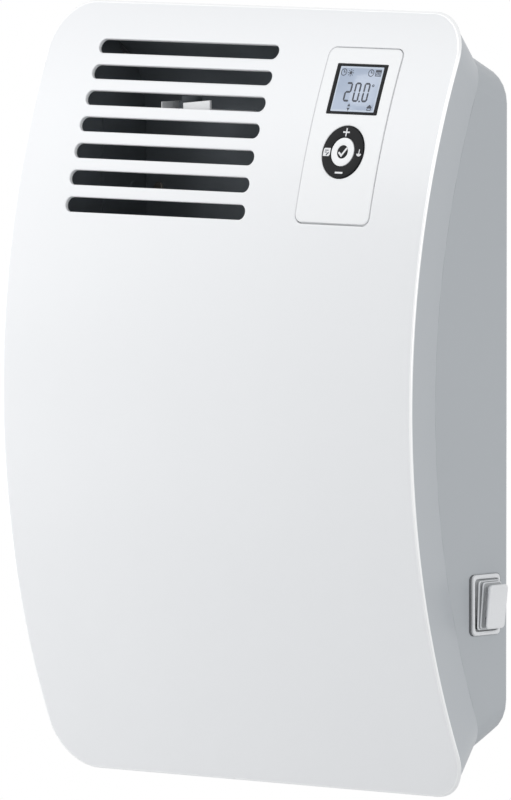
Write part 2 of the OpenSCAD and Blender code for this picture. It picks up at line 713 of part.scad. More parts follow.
// Rubber mat with two ridges that the pivot frame rocks on, and a dome under the middle key
module key_mat() color("gray") on_front(ring_arc, fascia_x) {
    peg(ring_r + 2, mat_top, mat_base - mat_top);
    for (s = [-1, 1]) translate([0, mat_top + 0.1, s > 0 ? frame_in : -frame_out])
        cylinder(r = ridge_r, h = frame_out - frame_in);
    peg(3, key_base + key_travel + 0.1, mat_top - key_base - key_travel);
}

// Frame between the mat and the ring: it rocks left and right, and the ring rocks up and down on it
frame_in = key_r + 1.5;
frame_out = ring_r - 1;
key_base = frame_base - 0.4;
module ring_pivot_frame() color("silver") on_front(ring_arc, fascia_x) {
    difference() {
        peg(frame_out, frame_top, frame_base - frame_top);
        peg(frame_in - 0.05, frame_top - 1, 4);
    }
    for (s = [-1, 1]) translate([s > 0 ? frame_in : -frame_out, frame_top + 0.1, 0]) rotate([0, 90, 0])
        cylinder(r = ridge_r, h = frame_out - frame_in);
}

module nav_ring() color("#1c1e20") on_front(ring_arc, fascia_x) difference() {
    union() {
        peg(ring_r, -ring_proud, ring_base + ring_proud);
        peg(ring_r + 1.5, flange_top, ring_base - flange_top);
    }
    peg(key_r + 0.4, -2, 12);
}

module ok_key() color("white") on_front(ring_arc, fascia_x) difference() {
    union() {
        peg(key_r, -ring_proud - 0.1, flange_top + ring_proud);
        peg(4, flange_top - 0.2, key_base - flange_top + 0.2);
    }
    peg(inlay_r + 0.05, -ring_proud - 1, 1.4);
}

module ok_inlay() color("#1c1e20") on_front(ring_arc, fascia_x) peg(inlay_r, -ring_proud - 0.1, 0.5);

// Power electronics on a tray on the back panel
tray_x = 95;
tray_w = 74;
tray_z = -18;
tray_h = 126;
post_l = 4.5;
pcb_y = inner_back_y - 1.5 - post_l;
pcb_face = pcb_y - board_t;
module board_carrier() color("whitesmoke") translate([tray_x, 0, tray_z]) {
    difference() {
        plate(tray_w, tray_h, 3, inner_back_y - 9, 9);
        plate(tray_w - 3, tray_h - 3, 2, inner_back_y - 10, 8.5);
    }
    for (x = [-1, 1], z = [-1, 1]) peg(3, pcb_y, post_l, x * (tray_w / 2 - 7), z * (tray_h / 2 - 7));
}

module power_board() color("darkgreen") translate([tray_x, 0, tray_z])
    plate(tray_w - 5, tray_h - 5, 1, pcb_face, board_t);

module transformer() color("darkgoldenrod") translate([tray_x - 12, pcb_face, tray_z + tray_h / 2 - 33]) {
    box(-19, 19, -26, 0, -16, 16);
    box(-21, 21, -20, -6, -11, 11);
}

module relay() color("royalblue") translate([tray_x + 19, pcb_face, tray_z - tray_h / 2 + 45])
    box(-9.5, 9.5, -16, 0, -8, 8);

module capacitor() color("khaki") translate([tray_x - 16, pcb_face, tray_z - tray_h / 2 + 49])
    box(-13, 13, -14, 0, -5, 5);

module board_terminals() color("limegreen") translate([tray_x, pcb_face, tray_z - tray_h / 2 + 17])
    difference() {
        box(-25, 25, -12, 0, -5, 5);
        for (i = [-2 : 2]) peg(2, -13, 6, i * 10);
    }

// Flat cable: straight out of the display board's socket, then in a smooth S to the power board
ribbon_t = 0.8;
ribbon_w = 16;
ribbon_a = fascia_arc / front_r * 180 / PI;
ribbon_out = box_depth + 2;
ribbon_start = [axis_y - (front_r - ribbon_out) * cos(ribbon_a) + socket_z * sin(ribbon_a),
    (front_r - ribbon_out) * sin(ribbon_a) + socket_z * cos(ribbon_a)];
ribbon_end = [pcb_face - 3, tray_z + tray_h / 2 - 12];
ribbon_steps = 16;
function ribbon_mid(k) = [ribbon_start[0] + (ribbon_end[0] - ribbon_start[0]) * (1 - cos(180 * k)) / 2,
    ribbon_start[1] + (ribbon_end[1] - ribbon_start[1]) * k];
module ribbon_cable() color("lightgray") {
    front_side = [for (i = [0 : ribbon_steps]) ribbon_mid(i / ribbon_steps) - [ribbon_t / 2, 0]];
    back_side = [for (i = [ribbon_steps : -1 : 0]) ribbon_mid(i / ribbon_steps) + [ribbon_t / 2, 0]];
    on_front(fascia_arc, fascia_x) box(-ribbon_w / 2, ribbon_w / 2, socket_top + seat,
        ribbon_out, socket_z - ribbon_t / 2, socket_z + ribbon_t / 2);
    translate([fascia_x - ribbon_w / 2, 0, 0]) rotate([90, 0, 90]) linear_extrude(ribbon_w)
        polygon(concat(front_side, back_side));
    box(fascia_x - ribbon_w / 2 - 1, fascia_x + ribbon_w / 2 + 1, ribbon_end[0], pcb_face,
        ribbon_end[1] - 3, ribbon_end[1] + 3);
}

// To the right of the hook's path
mains_x = hook_x + hook_w / 2 + 24;
mains_z = -150;
module mains_terminal() color("ivory") translate([mains_x, inner_back_y, mains_z]) difference() {
    union() {
        box(-16, 16, -16, 0, -9, 9);
        box(-20, 20, -3, 0, -5, 5);
    }
    for (i = [-1 : 1]) {
        translate([i * 10, -17, 0]) rotate([-90, 0, 0]) cylinder(r = 2.6, h = 7);
        translate([i * 10, -6, -10]) cylinder(r = 1.8, h = 20);
    }
}

// Gland for the supply lead in the slanted bottom of the body
module cable_gland() color("whitesmoke") on_bottom(gland_x) difference() {
    union() {
        translate([0, 0, -head_up - 3]) cylinder(r = gland_r + 2.5, h = 3);
        translate([0, 0, -8]) cylinder(r1 = gland_r - 1, r2 = gland_r + 0.5, h = 5.01);
        translate([0, 0, -head_up - 0.01]) cylinder(r = gland_r, h = wall_t + 3);
        translate([0, 0, wall_t + 0.1]) cylinder(r = gland_r + 2, h = 2, $fn = 6);
    }
    translate([0, 0, -9]) cylinder(r = 3.6, h = 20);
}

module earth_stud() color("gold") {
    peg(2, inner_back_y - 9, 10.9 + wall_t, earth_x, earth_z);
    peg(4, back_y, 1.9, earth_x, earth_z);
    translate([earth_x, inner_back_y, earth_z]) rotate([90, 0, 0]) cylinder(r = 4.4, h = 3, $fn = 6);
}

sensor_x = partition_x + 11 + 7;
sensor_z = shield_low + 6;
module sensor_clip() color("whitesmoke") translate([sensor_x, inner_back_y, sensor_z]) difference() {
    union() {
        box(-6, 6, -1.5, 0, -7, 7);
        box(-4.5, 4.5, -9, -1.4, -5, 5);
    }
    translate([0, -6, -6]) cylinder(r = 2.55, h = 12);
    box(-1.2, 1.2, -10, -6, -6, 6);
}

module room_sensor() color("black") translate([sensor_x, inner_back_y - 6, sensor_z]) {
    translate([0, 0, -9]) cylinder(r = 2.5, h = 18);
    translate([0, 0, 8.9]) cylinder(r = 1.4, h = 6);
}

// Rocker switch in the right side
plate_t = 2.2;
fold_t = 2.2;
fold_n = 2;
pivot_x = side_x - 0.6;
cap_w = 16.4;
cap_h = 26;
cap_t = 3;
// Distance from the pivot to the underside of the cap, which clears the bellows at either end
cap_x = side_x - pivot_x + plate_t + fold_n * fold_t + cap_h / 2 * sin(switch_tilt) + 0.2;

// Plate on the right side: local x runs out of the side
module on_side(x0, t, w, h, r) {
    translate([x0, switch_y, switch_z]) rotate([90, 0, 90]) linear_extrude(t) rounded(w, h, r);
}

module switch_frame() color("#eef0f0") difference() {
    on_side(side_x, plate_t, switch_w, switch_h, 3);
    on_side(side_x - 1, plate_t + 2, switch_hole_w - 0.4, switch_hole_h - 0.4, 1.5);
}

body_in = 20;
cavity_w = 13;
cavity_h = 20;
module switch_body() color("#2a2c2e") difference() {
    union() {
        on_side(side_x - body_in, body_in + 1.4, switch_hole_w - 0.6, switch_hole_h - 0.6, 1.5);
        for (z = [-1, 0, 1]) translate([side_x - body_in - 8, switch_y - 0.4, switch_z + z * 8 - 2.4])
            cube([8.1, 0.8, 4.8]);
    }
    on_side(side_x - 7, 12, cavity_w, cavity_h, 1);
    translate([pivot_x, switch_y - cavity_w / 2 - 2, switch_z]) rotate([-90, 0, 0])
        cylinder(r = 1.6, h = cavity_w + 4);
    translate([pivot_x, switch_y - cavity_w / 2 - 2, switch_z - 1.6])
        cube([6, cavity_w + 4, 3.2]);
}

// Bellows cover: two folds, each a little smaller than the one below
module switch_boot() color("#dfe2e3") difference() {
    union() for (i = [0 : fold_n - 1]) {
        shrink = 1.6 * i;
        x0 = side_x + plate_t + i * fold_t;
        on_side(x0, fold_t * 0.55, switch_w - 4 - shrink, switch_h - 4.5 - shrink, 2.6);
        on_side(x0, fold_t, switch_w - 6 - shrink, switch_h - 6.5 - shrink, 2.2);
    }
    on_side(side_x, 20, cavity_w, cavity_h + 1, 1);
}

pin_r = 1.5;
module switch_rocker() color("#e8eaea") translate([pivot_x, switch_y, switch_z])
    rotate([0, switch_tilt, 0]) {
        translate([cap_x, 0, 0]) rotate([90, 0, 90]) linear_extrude(cap_t) rounded(cap_w, cap_h, 2.4);
        box(-2, cap_x + 0.01, -5, 5, -7, 7);
        rotate([90, 0, 0]) translate([0, 0, -cavity_w / 2 - 1.5]) cylinder(r = pin_r, h = cavity_w + 3);
    }

wall_bracket();
rear_housing();
wall_pads();
front_cover();
cover_screws();
intake_grille();
heat_shield();
shield_screws();
duct_side();
duct_rivets();
partition_wall();
element_tube();
element_fins();
element_brackets();
element_bushes();
element_terminals();
cutout_holder();
thermal_cutout();
control_fascia();
control_box();
lcd_frame();
lcd_pane();
lcd_module();
display_board();
board_screws();
key_mat();
ring_pivot_frame();
nav_ring();
ok_key();
ok_inlay();
board_carrier();
power_board();
transformer();
relay();
capacitor();
board_terminals();
ribbon_cable();
mains_terminal();
cable_gland();
earth_stud();
room_sensor();
sensor_clip();
switch_frame();
switch_body();
switch_boot();
switch_rocker();
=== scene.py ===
import json
import math

import bmesh
import bpy
import numpy as np
from mathutils import Matrix, Vector

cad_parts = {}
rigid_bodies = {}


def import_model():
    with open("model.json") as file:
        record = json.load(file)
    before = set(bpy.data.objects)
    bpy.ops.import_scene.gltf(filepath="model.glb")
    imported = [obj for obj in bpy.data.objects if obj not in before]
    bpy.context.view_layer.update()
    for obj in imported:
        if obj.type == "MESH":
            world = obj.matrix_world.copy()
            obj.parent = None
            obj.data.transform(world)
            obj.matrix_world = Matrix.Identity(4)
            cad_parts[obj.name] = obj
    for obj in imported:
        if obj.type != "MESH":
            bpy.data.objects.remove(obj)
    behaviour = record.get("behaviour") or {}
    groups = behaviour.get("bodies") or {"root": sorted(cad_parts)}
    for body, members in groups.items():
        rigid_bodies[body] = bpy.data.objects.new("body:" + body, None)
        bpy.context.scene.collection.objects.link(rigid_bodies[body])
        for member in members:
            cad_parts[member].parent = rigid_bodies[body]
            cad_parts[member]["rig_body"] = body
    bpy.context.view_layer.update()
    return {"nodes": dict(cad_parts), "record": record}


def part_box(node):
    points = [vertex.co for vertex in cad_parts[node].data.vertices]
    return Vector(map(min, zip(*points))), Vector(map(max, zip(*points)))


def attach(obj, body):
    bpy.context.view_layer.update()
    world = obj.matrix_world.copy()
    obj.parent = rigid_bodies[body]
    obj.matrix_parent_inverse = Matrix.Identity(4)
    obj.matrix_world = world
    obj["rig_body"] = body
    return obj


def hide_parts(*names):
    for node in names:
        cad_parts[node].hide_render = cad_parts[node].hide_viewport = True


# A wall-hung convector heater: bowed white front, outlet slots, a panel with a display and a four-way
# ring, and a rocker switch under a bellows on the right side. Shapes are worked out in millimetres.

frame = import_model()
nodes = frame["nodes"]
slotOf = {part["node"]: part["material_slot"] for part in frame["record"]["subparts"]}
mm, micron = 0.001, 0.000001
print("frame loaded:", len(nodes), "nodes")

# Camera, at the photograph's angle

cameraSetup = {
    "turn": 41.499,  # degrees round from straight ahead, towards the switch
    "rise": 3.963,
    "distance": 7.957455,
    "target": (0.025505, -0.095, 0.0),
    "lens": 596.3,
    "sensor": 36,
    "farthest": 60,
}


# Direction from the origin: turned about the upright axis from straight ahead, then raised, in degrees
def direction(turn, rise):
    turn, rise = math.radians(turn), math.radians(rise)
    return Vector((math.sin(turn) * math.cos(rise), -math.cos(turn) * math.cos(rise), math.sin(rise)))


# Camera a distance from its target in the direction of its turn and rise, looking back at it
def addCamera(setup):
    back = direction(setup["turn"], setup["rise"])
    data = bpy.data.cameras.new("photoCamera")
    data.lens = setup["lens"]
    data.sensor_width = setup["sensor"]
    data.clip_end = setup["farthest"]
    camera = bpy.data.objects.new("photoCamera", data)
    camera.location = Vector(setup["target"]) + back * setup["distance"]
    camera.rotation_euler = back.to_track_quat("Z", "Y").to_euler()
    bpy.context.scene.collection.objects.link(camera)
    bpy.context.scene.camera = camera


addCamera(cameraSetup)

# Mesh helpers. A patch is a grid of points, rows by columns, and a skin is several patches sewn together.


# Point numbers of a grid's quads: each point with its neighbours to the right, above right and above
def gridFaces(rows, cols, closed):
    across = cols if closed else cols - 1
    r, c = np.meshgrid(np.arange(rows - 1), np.arange(across), indexing="ij")
    a = (r * cols + c).ravel()
    b = (r * cols + (c + 1) % cols).ravel()
    return np.stack([a, b, b + cols, a + cols], -1)


# Object of a mesh, smooth apart from edges that turn by more than an angle in degrees
def addObject(name, mesh, sharp):
    mesh.shade_smooth()
    mesh.set_sharp_from_angle(angle=math.radians(sharp))
    piece = bpy.data.objects.new(name, mesh)
    bpy.context.scene.collection.objects.link(piece)
    return piece


# Sews patches, each (points, closed, material number), and caps, each a loop of points, into one skin, with
# doubles merged and faces turned outwards
def sew(name, patches, caps=(), sharp=35.0, weld=0.002):
    points, faces, materialNumbers, start = [], [], [], 0
    for grid, closed, number in patches:
        rows, cols = grid.shape[:2]
        points.append(grid.reshape(-1, 3))
        quads = gridFaces(rows, cols, closed) + start
        faces += quads.tolist()
        materialNumbers += [number] * len(quads)
        start += rows * cols
    for ends in caps:
        points.append(np.asarray(ends))
        faces.append(list(range(start, start + len(ends))))
        materialNumbers.append(0)
        start += len(ends)
    mesh = bpy.data.meshes.new(name)
    mesh.from_pydata(np.concatenate(points) * mm, [], faces)
    mesh.polygons.foreach_set("material_index", materialNumbers)
    build = bmesh.new()
    build.from_mesh(mesh)
    bmesh.ops.remove_doubles(build, verts=build.verts, dist=weld * mm)
    bmesh.ops.dissolve_degenerate(build, edges=build.edges, dist=weld * mm)
    bmesh.ops.recalc_face_normals(build, faces=build.faces)
    build.to_mesh(mesh)
    build.free()
    return addObject(name, mesh, sharp)


# Skin of one grid whose rows are closed loops, with its two end rows as caps where it is capped
def sewRows(name, grid, capped=False):
    return sew(name, [(grid, True, 0)], (grid[0], grid[-1]) if capped else ())


# Applies the piece's modifiers to its mesh
def bake(piece):
    bpy.context.view_layer.update()
    solid = bpy.data.meshes.new_from_object(piece.evaluated_get(bpy.context.evaluated_depsgraph_get()))
    piece.modifiers.clear()
    piece.data = solid


# Cuts the cutters out of a piece and takes them away
def carve(piece, cutters, sharp):
    for cutter in cutters:
        cut = piece.modifiers.new("cut", "BOOLEAN")
        cut.operation = "DIFFERENCE"
        cut.solver = "EXACT"
        cut.object = cutter
    bake(piece)
    piece.data.shade_smooth()
    piece.data.set_sharp_from_angle(angle=math.radians(sharp))
    for cutter in cutters:
        bpy.data.objects.remove(cutter)


# Gives a finished piece its body, its slot, the nodes that it stands for and its paints, which are its
# slot's where none are named. A paint takes the place of one already there, because clearing them would
# lose the faces' material numbers.
def dress(piece, body, slot, *replaced, paints=None):
    carried = piece.data.materials
    for i, name in enumerate((paints or slot).split()):
        if i < len(carried):
            carried[i] = paintBox[name]
        else:
            carried.append(paintBox[name])
    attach(piece, body)
    if replaced:
        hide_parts(*replaced)
    return piece


# Materials: a colour that drifts by a small tone, roughness that drifts with it, and a fine grain as bump

paintBox = {}
paintSetup = {
    "driftDetail": 3,
    "driftSpan": (0.3, 0.7),  # part of the noise over which the colour goes from its dark to its light tone
    "grainDetail": 2,
    "grainStrength": 0.6,
    "leastRough": 0.02,
}


# Node of a kind, with values on its own sockets
def addNode(tree, kind, values={}):
    node = tree.nodes.new("ShaderNode" + kind)
    for socket, value in values.items():
        node.inputs[socket].default_value = value
    return node


# One noise takes the colour from dark to light and the roughness from low to high, and a finer one the bump
def finish(name, colour, rough, grain, depth, tone, toneScale, metal=0.0, coat=0.0, coatRough=0.1,
           roughSpread=0.04, stretch=(1, 1, 1), specular=0.5):
    setup = paintSetup
    material = bpy.data.materials.new(name)
    material.use_nodes = True
    tree = material.node_tree
    tree.nodes.clear()
    output = addNode(tree, "OutputMaterial")
    shader = addNode(tree, "BsdfPrincipled", {"Metallic": metal, "Specular IOR Level": specular,
                                              "Coat Weight": coat, "Coat Roughness": coatRough})
    place = addNode(tree, "TexCoord")
    mapping = addNode(tree, "Mapping", {"Scale": stretch})
    drift = addNode(tree, "TexNoise", {"Scale": toneScale, "Detail": setup["driftDetail"]})
    ramp = addNode(tree, "ValToRGB")
    dark, light = ramp.color_ramp.elements
    dark.position, light.position = setup["driftSpan"]
    dark.color = [c * (1 - tone) for c in colour] + [1]
    light.color = [min(1.0, c * (1 + tone)) for c in colour] + [1]
    spread = addNode(tree, "MapRange", {"To Min": max(setup["leastRough"], rough - roughSpread),
                                        "To Max": rough + roughSpread})
    fine = addNode(tree, "TexNoise", {"Scale": grain, "Detail": setup["grainDetail"]})
    bump = addNode(tree, "Bump", {"Distance": depth * micron, "Strength": setup["grainStrength"]})
    link = tree.links.new
    link(place.outputs["Object"], mapping.inputs["Vector"])
    link(mapping.outputs[0], drift.inputs["Vector"])
    link(drift.outputs["Fac"], ramp.inputs["Fac"])
    link(ramp.outputs["Color"], shader.inputs["Base Color"])
    link(drift.outputs["Fac"], spread.inputs["Value"])
    link(spread.outputs["Result"], shader.inputs["Roughness"])
    link(mapping.outputs[0], fine.inputs["Vector"])
    link(fine.outputs["Fac"], bump.inputs["Height"])
    link(bump.outputs["Normal"], shader.inputs["Normal"])
    link(shader.outputs[0], output.inputs[0])
    paintBox[name] = material
    return material


# The numbers are roughness, scale of the grain, its depth in microns, share by which the tone drifts, and
# scale of that drift. The painted sheets come first, then mouldings, metals and the parts inside.
finish("painted_steel", (0.895, 0.90, 0.91), 0.34, 650, 8, 0.006, 5, coat=0.15, coatRough=0.2)
finish("painted_grey", (0.477, 0.50, 0.522), 0.42, 650, 8, 0.012, 5, coat=0.1, coatRough=0.3)
# the rolled rim: the front's white made lighter and partly metallic, a painted highlight along the edge
finish("painted_rim", (0.985, 0.988, 0.99), 0.3, 650, 8, 0.004, 5, metal=0.4, coat=0.3,
       coatRough=0.15, specular=1.0)
# the skirt: the body's grey made a little lighter, painted light where the skirt catches more light than the
# side
finish("painted_skirt", (0.507, 0.531, 0.555), 0.42, 650, 8, 0.012, 5, coat=0.1, coatRough=0.3)
finish("moulded_white", (0.93, 0.935, 0.94), 0.36, 2600, 6, 0.006, 8, coat=0.1, coatRough=0.2)
finish("dark_plastic", (0.0065, 0.007, 0.008), 0.5, 2600, 20, 0.3, 900, specular=0.13)
finish("display_pane", (0.40, 0.475, 0.61), 0.3, 900, 2, 0.03, 40, coat=0.3, coatRough=0.06)
finish("display_edge", (0.54, 0.61, 0.71), 0.3, 900, 2, 0.03, 40)
finish("switch_plastic", (0.86, 0.865, 0.875), 0.45, 3200, 15, 0.01, 30)
finish("switch_rubber", (0.80, 0.81, 0.825), 0.55, 2400, 20, 0.02, 60)
# darker grey for the bellows' grooves: painted shade, not a second rubber
finish("fold_shade", (0.45, 0.46, 0.47), 0.7, 2400, 20, 0.05, 60)
# dark grey of the thin ring round the switch frame: painted contact shadow
finish("painted_shadow_rubber", (0.12, 0.125, 0.13), 0.75, 1800, 40, 0.1, 60)
finish("grey_rubber", (0.06, 0.06, 0.063), 0.75, 1800, 40, 0.1, 60)
finish("zinc_steel", (0.56, 0.57, 0.585), 0.38, 500, 10, 0.12, 45, metal=1.0, roughSpread=0.1)
# galvanised is a dark grey, not bright metal: painted shade for the sheets and parts deep inside the heater
finish("galvanised", (0.150, 0.166, 0.182), 0.6, 700, 20, 0.12, 25, specular=0.3)
finish("aluminium_fin", (0.75, 0.755, 0.76), 0.32, 300, 20, 0.06, 60, metal=1.0, stretch=(1, 1, 12))
finish("sheath", (0.36, 0.33, 0.30), 0.42, 500, 10, 0.2, 35, metal=1.0)
finish("ceramic", (0.82, 0.80, 0.76), 0.5, 2500, 20, 0.03, 80)
finish("brass", (0.66, 0.50, 0.24), 0.3, 900, 10, 0.08, 70, metal=1.0)
finish("board", (0.015, 0.11, 0.045), 0.35, 1500, 30, 0.15, 120, coat=0.3)
finish("inner_plastic", (0.92, 0.925, 0.93), 0.5, 2400, 20, 0.02, 30)
finish("blue_part", (0.02, 0.08, 0.35), 0.3, 1200, 10, 0.08, 90)
finish("copper_coil", (0.38, 0.20, 0.06), 0.45, 1400, 100, 0.25, 260, stretch=(1, 1, 8))
finish("film", (0.60, 0.42, 0.08), 0.25, 900, 10, 0.06, 60)
finish("green_plastic", (0.04, 0.36, 0.09), 0.4, 1800, 20, 0.05, 60)
finish("ribbon", (0.48, 0.49, 0.5), 0.5, 1200, 20, 0.05, 200, stretch=(14, 1, 1))
finish("black_plastic", (0.016, 0.016, 0.018), 0.5, 2400, 20, 0.1, 80)
finish("print_white", (0.88, 0.88, 0.89), 0.5, 2400, 2, 0.01, 60)
finish("print_dark", (0.022, 0.03, 0.05), 0.5, 2400, 2, 0.08, 60)
print("materials made:", len(paintBox))

# Shape of the bow. The front lies on a cylinder about an axis across the heater.

coverLow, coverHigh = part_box("front_cover")
coverSize = {
    "width": (coverHigh.x - coverLow.x) / mm,
    "height": (coverHigh.z - coverLow.z) / mm,
    "crown": coverLow.y / mm,
    "bow": 525.0,
    "sheet": 2.5,
    "cornerTop": 29.0,
    "cornerLow": 28.0,
    "narrower": 1.0,  # the rim stands this much further in on the right than on the left
    "roll": 1.25,
    "rollTurn": 135.0,  # degrees that the rim is rolled through, 90 being straight back
    "rollRows": 14,
    "skirtStart": (0.95, 2.1),  # where the grey skirt comes out from under the rim: inset and depth
    "skirtDepth": 36.2,
    "skirtRows": 7,
    "crease": 4.0,  # length of skirt that curves into the body's direction
    "reach": 0.28,  # how far the skirt goes on along the body, to close the joint
    "bodyWidth": 304.0,
    "bodyHeight": 420.4,
    "bodyCorner": 22.0,
    "bodyWall": 2.0,
    "ledge": (0.5, 0.6),  # inset of the ledge behind the joint, past the crease
    "tongue": 8.0,  # the tongue lies inside the body's wall, a gap away from it
    "tongueGap": 0.3,
    "tongueWall": 1.8,
    "tongueRise": 0.56,
    "tongueRoot": 0.5,
    "slanted": 1.1,  # the slanting sheet takes up this much more than its thickness
    "insideRows": (4.0, 2.0),  # rows of the skirt's inner face, before the crease and behind the sheet
    "insideEdge": (3.5, 4.0),
    "outerShares": (0.2, 0.4, 0.6, 0.8, 0.93),  # rows from the border of the cells out to the rim
    "innerShares": (0.3, 0.65),
    "edge": 0.5,  # radius of the edge round slots and the panel's opening
    "fieldLow": -205.0,  # arc of the plain field's lower border
    "fieldRun": 16.0,
    "fieldSteps": 44,
    "stripSteps": 4,
    "cornerSteps": 8,
    "sharp": 38,
}
bow = coverSize["bow"]
axisY = coverSize["crown"] + bow


# Point at an arc length up the front, moved straight inwards by a depth
def bend(x, arc, depth):
    turn = arc / bow
    return np.stack([x, axisY - (bow - depth) * np.cos(turn), (bow - depth) * np.sin(turn)], -1)


# y of the cylinder that lies a depth inside the front, at a height z
def bowY(z, depth):
    return axisY - np.sqrt((bow - depth) ** 2 - z**2)


# Points at places x and z on that cylinder
def layOn(x, z, depth):
    return np.stack([x, bowY(z, depth), z], -1)


# Local points (across, inwards, up) moved to the front at an arc length
def onFront(arc, x, local):
    turn = arc / bow
    y, z = local[..., 1] - bow, local[..., 2]
    return np.stack([local[..., 0] + x, axisY + y * math.cos(turn) + z * math.sin(turn),
                     -y * math.sin(turn) + z * math.cos(turn)], -1)


# One side of a loop, from a to b: half a corner in k steps, the straight part at given fractions of its
# length, and half a corner again. A square side has straight end runs in place of the half corners.
def loopSide(a, b, outward, start, end, k, fractions, square):
    a, b, outward = np.array(a, float), np.array(b, float), np.array(outward, float)
    along = (b - a) / np.linalg.norm(b - a)
    t = np.arange(k)[:, None] / k
    if square:
        first = a + along * start * t
        last = b - along * end * (1 - t)
    else:
        early, late = math.pi / 4 * (1 - t), math.pi / 4 * t
        first = a + start * ((1 - np.sin(early)) * along - (1 - np.cos(early)) * outward)
        last = b + end * ((np.sin(late) - 1) * along - (1 - np.cos(late)) * outward)
    straight = a + along * start + fractions[:-1, None] * (b - a - along * (start + end))
    return np.concatenate([first, straight, last])


# Loop in a plane, counter-clockwise from the middle of its lower left corner. The radii are lower left,
# lower right, upper right and upper left, or (run across, run up) of a square loop. The straight parts
# have points at the fractions fx across and fz up.
def loop(halfX, halfZ, radii, k, fx, fz, square=False, centre=(0, 0)):
    across, up = ((radii[0],) * 4, (radii[1],) * 4) if square else (radii, radii)
    corners = [(-halfX, -halfZ), (halfX, -halfZ), (halfX, halfZ), (-halfX, halfZ)]
    sides = [
        loopSide(corners[0], corners[1], (0, -1), across[0], across[1], k, fx, square),
        loopSide(corners[1], corners[2], (1, 0), up[1], up[2], k, fz, square),
        loopSide(corners[2], corners[3], (0, 1), across[2], across[3], k, 1 - fx[::-1], square),
        loopSide(corners[3], corners[0], (-1, 0), up[3], up[0], k, 1 - fz[::-1], square),
    ]
    return np.concatenate(sides) + np.array(centre)


# Loop with four equal round corners
def roundLoop(halfX, halfZ, corner, k, fx, fz, centre=(0, 0)):
    return loop(halfX, halfZ, (corner,) * 4, k, fx, fz, False, centre)


# Circle in equal steps, from the middle of its lower left quarter
def circleLoop(radius, perSide):
    a = math.radians(225) + math.pi / 2 * np.arange(4 * perSide) / perSide
    return np.stack([np.cos(a), np.sin(a)], -1) * radius


# Places of a side's grid lines: k steps over each end run, m between
def stops(a, b, run, k, m):
    return np.concatenate([np.linspace(a, a + run, k + 1)[:-1], np.linspace(a + run, b - run, m + 1)[:-1],
                           np.linspace(b - run, b, k + 1)])


# Fractions of a straight part in m equal steps
def even(m):
    return np.linspace(0, 1, m + 1) if m else np.array([0.0])


# The same for a side whose grid lines are given, k steps in from each end
def fractionsOf(lines, k):
    return (lines[k:-k] - lines[k]) / (lines[-k - 1] - lines[k])


# Border of a grid with columns xs and rows ys, counter-clockwise from its lower left point
def borderOf(xs, ys):
    across, up = len(xs) - 1, len(ys) - 1
    return (np.concatenate([xs[:-1], np.full(up, xs[-1]), xs[::-1][:-1], np.full(up, xs[0])]),
            np.concatenate([np.full(across, ys[0]), ys[:-1], np.full(across, ys[-1]), ys[::-1][:-1]]))


# Rounded edge of radius r, out from the flat: insets r (1 - sin t) with depths r (1 - cos t)
def roundEdge(r, steps=5, turn=90.0):
    return [(r * (1 - math.sin(t)), r * (1 - math.cos(t))) for t in np.radians(np.linspace(0, turn, steps))]


# A cell is the part of a sheet round one opening. Its border loop and the opening's have equal counts.

cellSetup = {
    "clear": 3.0,  # the border's rows stay this many edge radii clear of the opening
    "shares": (0.4, 0.75),
    "backEdge": 0.4,  # the back's edge is broken by this share of the front's radius
}


# Patch from a cell's square border in to its opening's rounded edge, through the sheet and back out behind.
# Both are half a width, half a height and corners. Rows near the opening are its loop grown by an offset.
def cell(border, opening, k, fx, fz, centre, thickness, edge):
    def grown(offset):
        halfX, halfZ, corner = opening
        return roundLoop(halfX + offset, halfZ + offset, corner + offset, k, fx, fz, centre)

    outer, near = loop(*border, k, fx, fz, True, centre), grown(edge * cellSetup["clear"])
    rows = [(outer, 0.0)] + [(outer + (near - outer) * share, 0.0) for share in cellSetup["shares"]]
    rows += [(near, 0.0)] + [(grown(inset), depth) for inset, depth in roundEdge(edge)]
    back = edge * cellSetup["backEdge"]
    rows += [(grown(0.0), thickness - back), (grown(back), thickness), (near, thickness), (outer, thickness)]
    return np.stack([bend(*flat.T, depth) for flat, depth in rows]), True, 0


# Patch of a plain field over a grid's columns and rows
def plain(xs, arcs, depth):
    return bend(*np.meshgrid(xs, arcs), depth), False, 0


# Front cover: slots and panel opening in a block of cells, a plain field below, and a band round both
# that goes over the rolled rim, down the skirt to the crease and back inside

slotSize = {"count": 7, "length": 145.3, "height": 9.3, "pitch": 16.7, "x": -50.8, "margin": 6.0, "steps": 12}
panelSize = {"width": 58.0, "height": 109.5, "corner": 5.0, "thick": 2.0, "x": 91.5, "seam": 0.4,
             "margin": 3.3, "drop": 25.0, "steps": 6}
topArc = bow * math.asin(coverSize["height"] / 2 / bow)
panelTop = topArc - panelSize["drop"]
panelArc = panelTop - panelSize["height"] / 2
blockHeight = slotSize["count"] * slotSize["pitch"]


# The cover's outline drawn in by an inset, on the cylinder a depth inside the front. Its corners go from
# the rim's radius to the body's as the inset goes from the rim to the body's side.
def coverRing(insetX, insetZ, depth, fx, fz):
    size = coverSize
    skirtX = (size["width"] - size["bodyWidth"]) / 2
    share, over = min(1.0, insetX / skirtX), max(0.0, insetX - skirtX)
    top = size["cornerTop"] + (size["bodyCorner"] - size["cornerTop"]) * share - over
    low = size["cornerLow"] + (size["bodyCorner"] - size["cornerLow"]) * share - over
    shift = size["narrower"] / 2 * (1 - share)
    flat = loop(size["width"] / 2 - insetX - shift, size["height"] / 2 - insetZ, (low, low, top, top),
                size["cornerSteps"], fx, fz, centre=(-shift, 0))
    return layOn(flat[:, 0], flat[:, 1], depth)


# Loops at given shares of the way from one to another, laid on the cylinder at a depth
def between(first, last, shares, depth):
    mixes = [first + (last - first) * share for share in shares]
    return [layOn(mix[:, 0], mix[:, 2], depth) for mix in mixes]


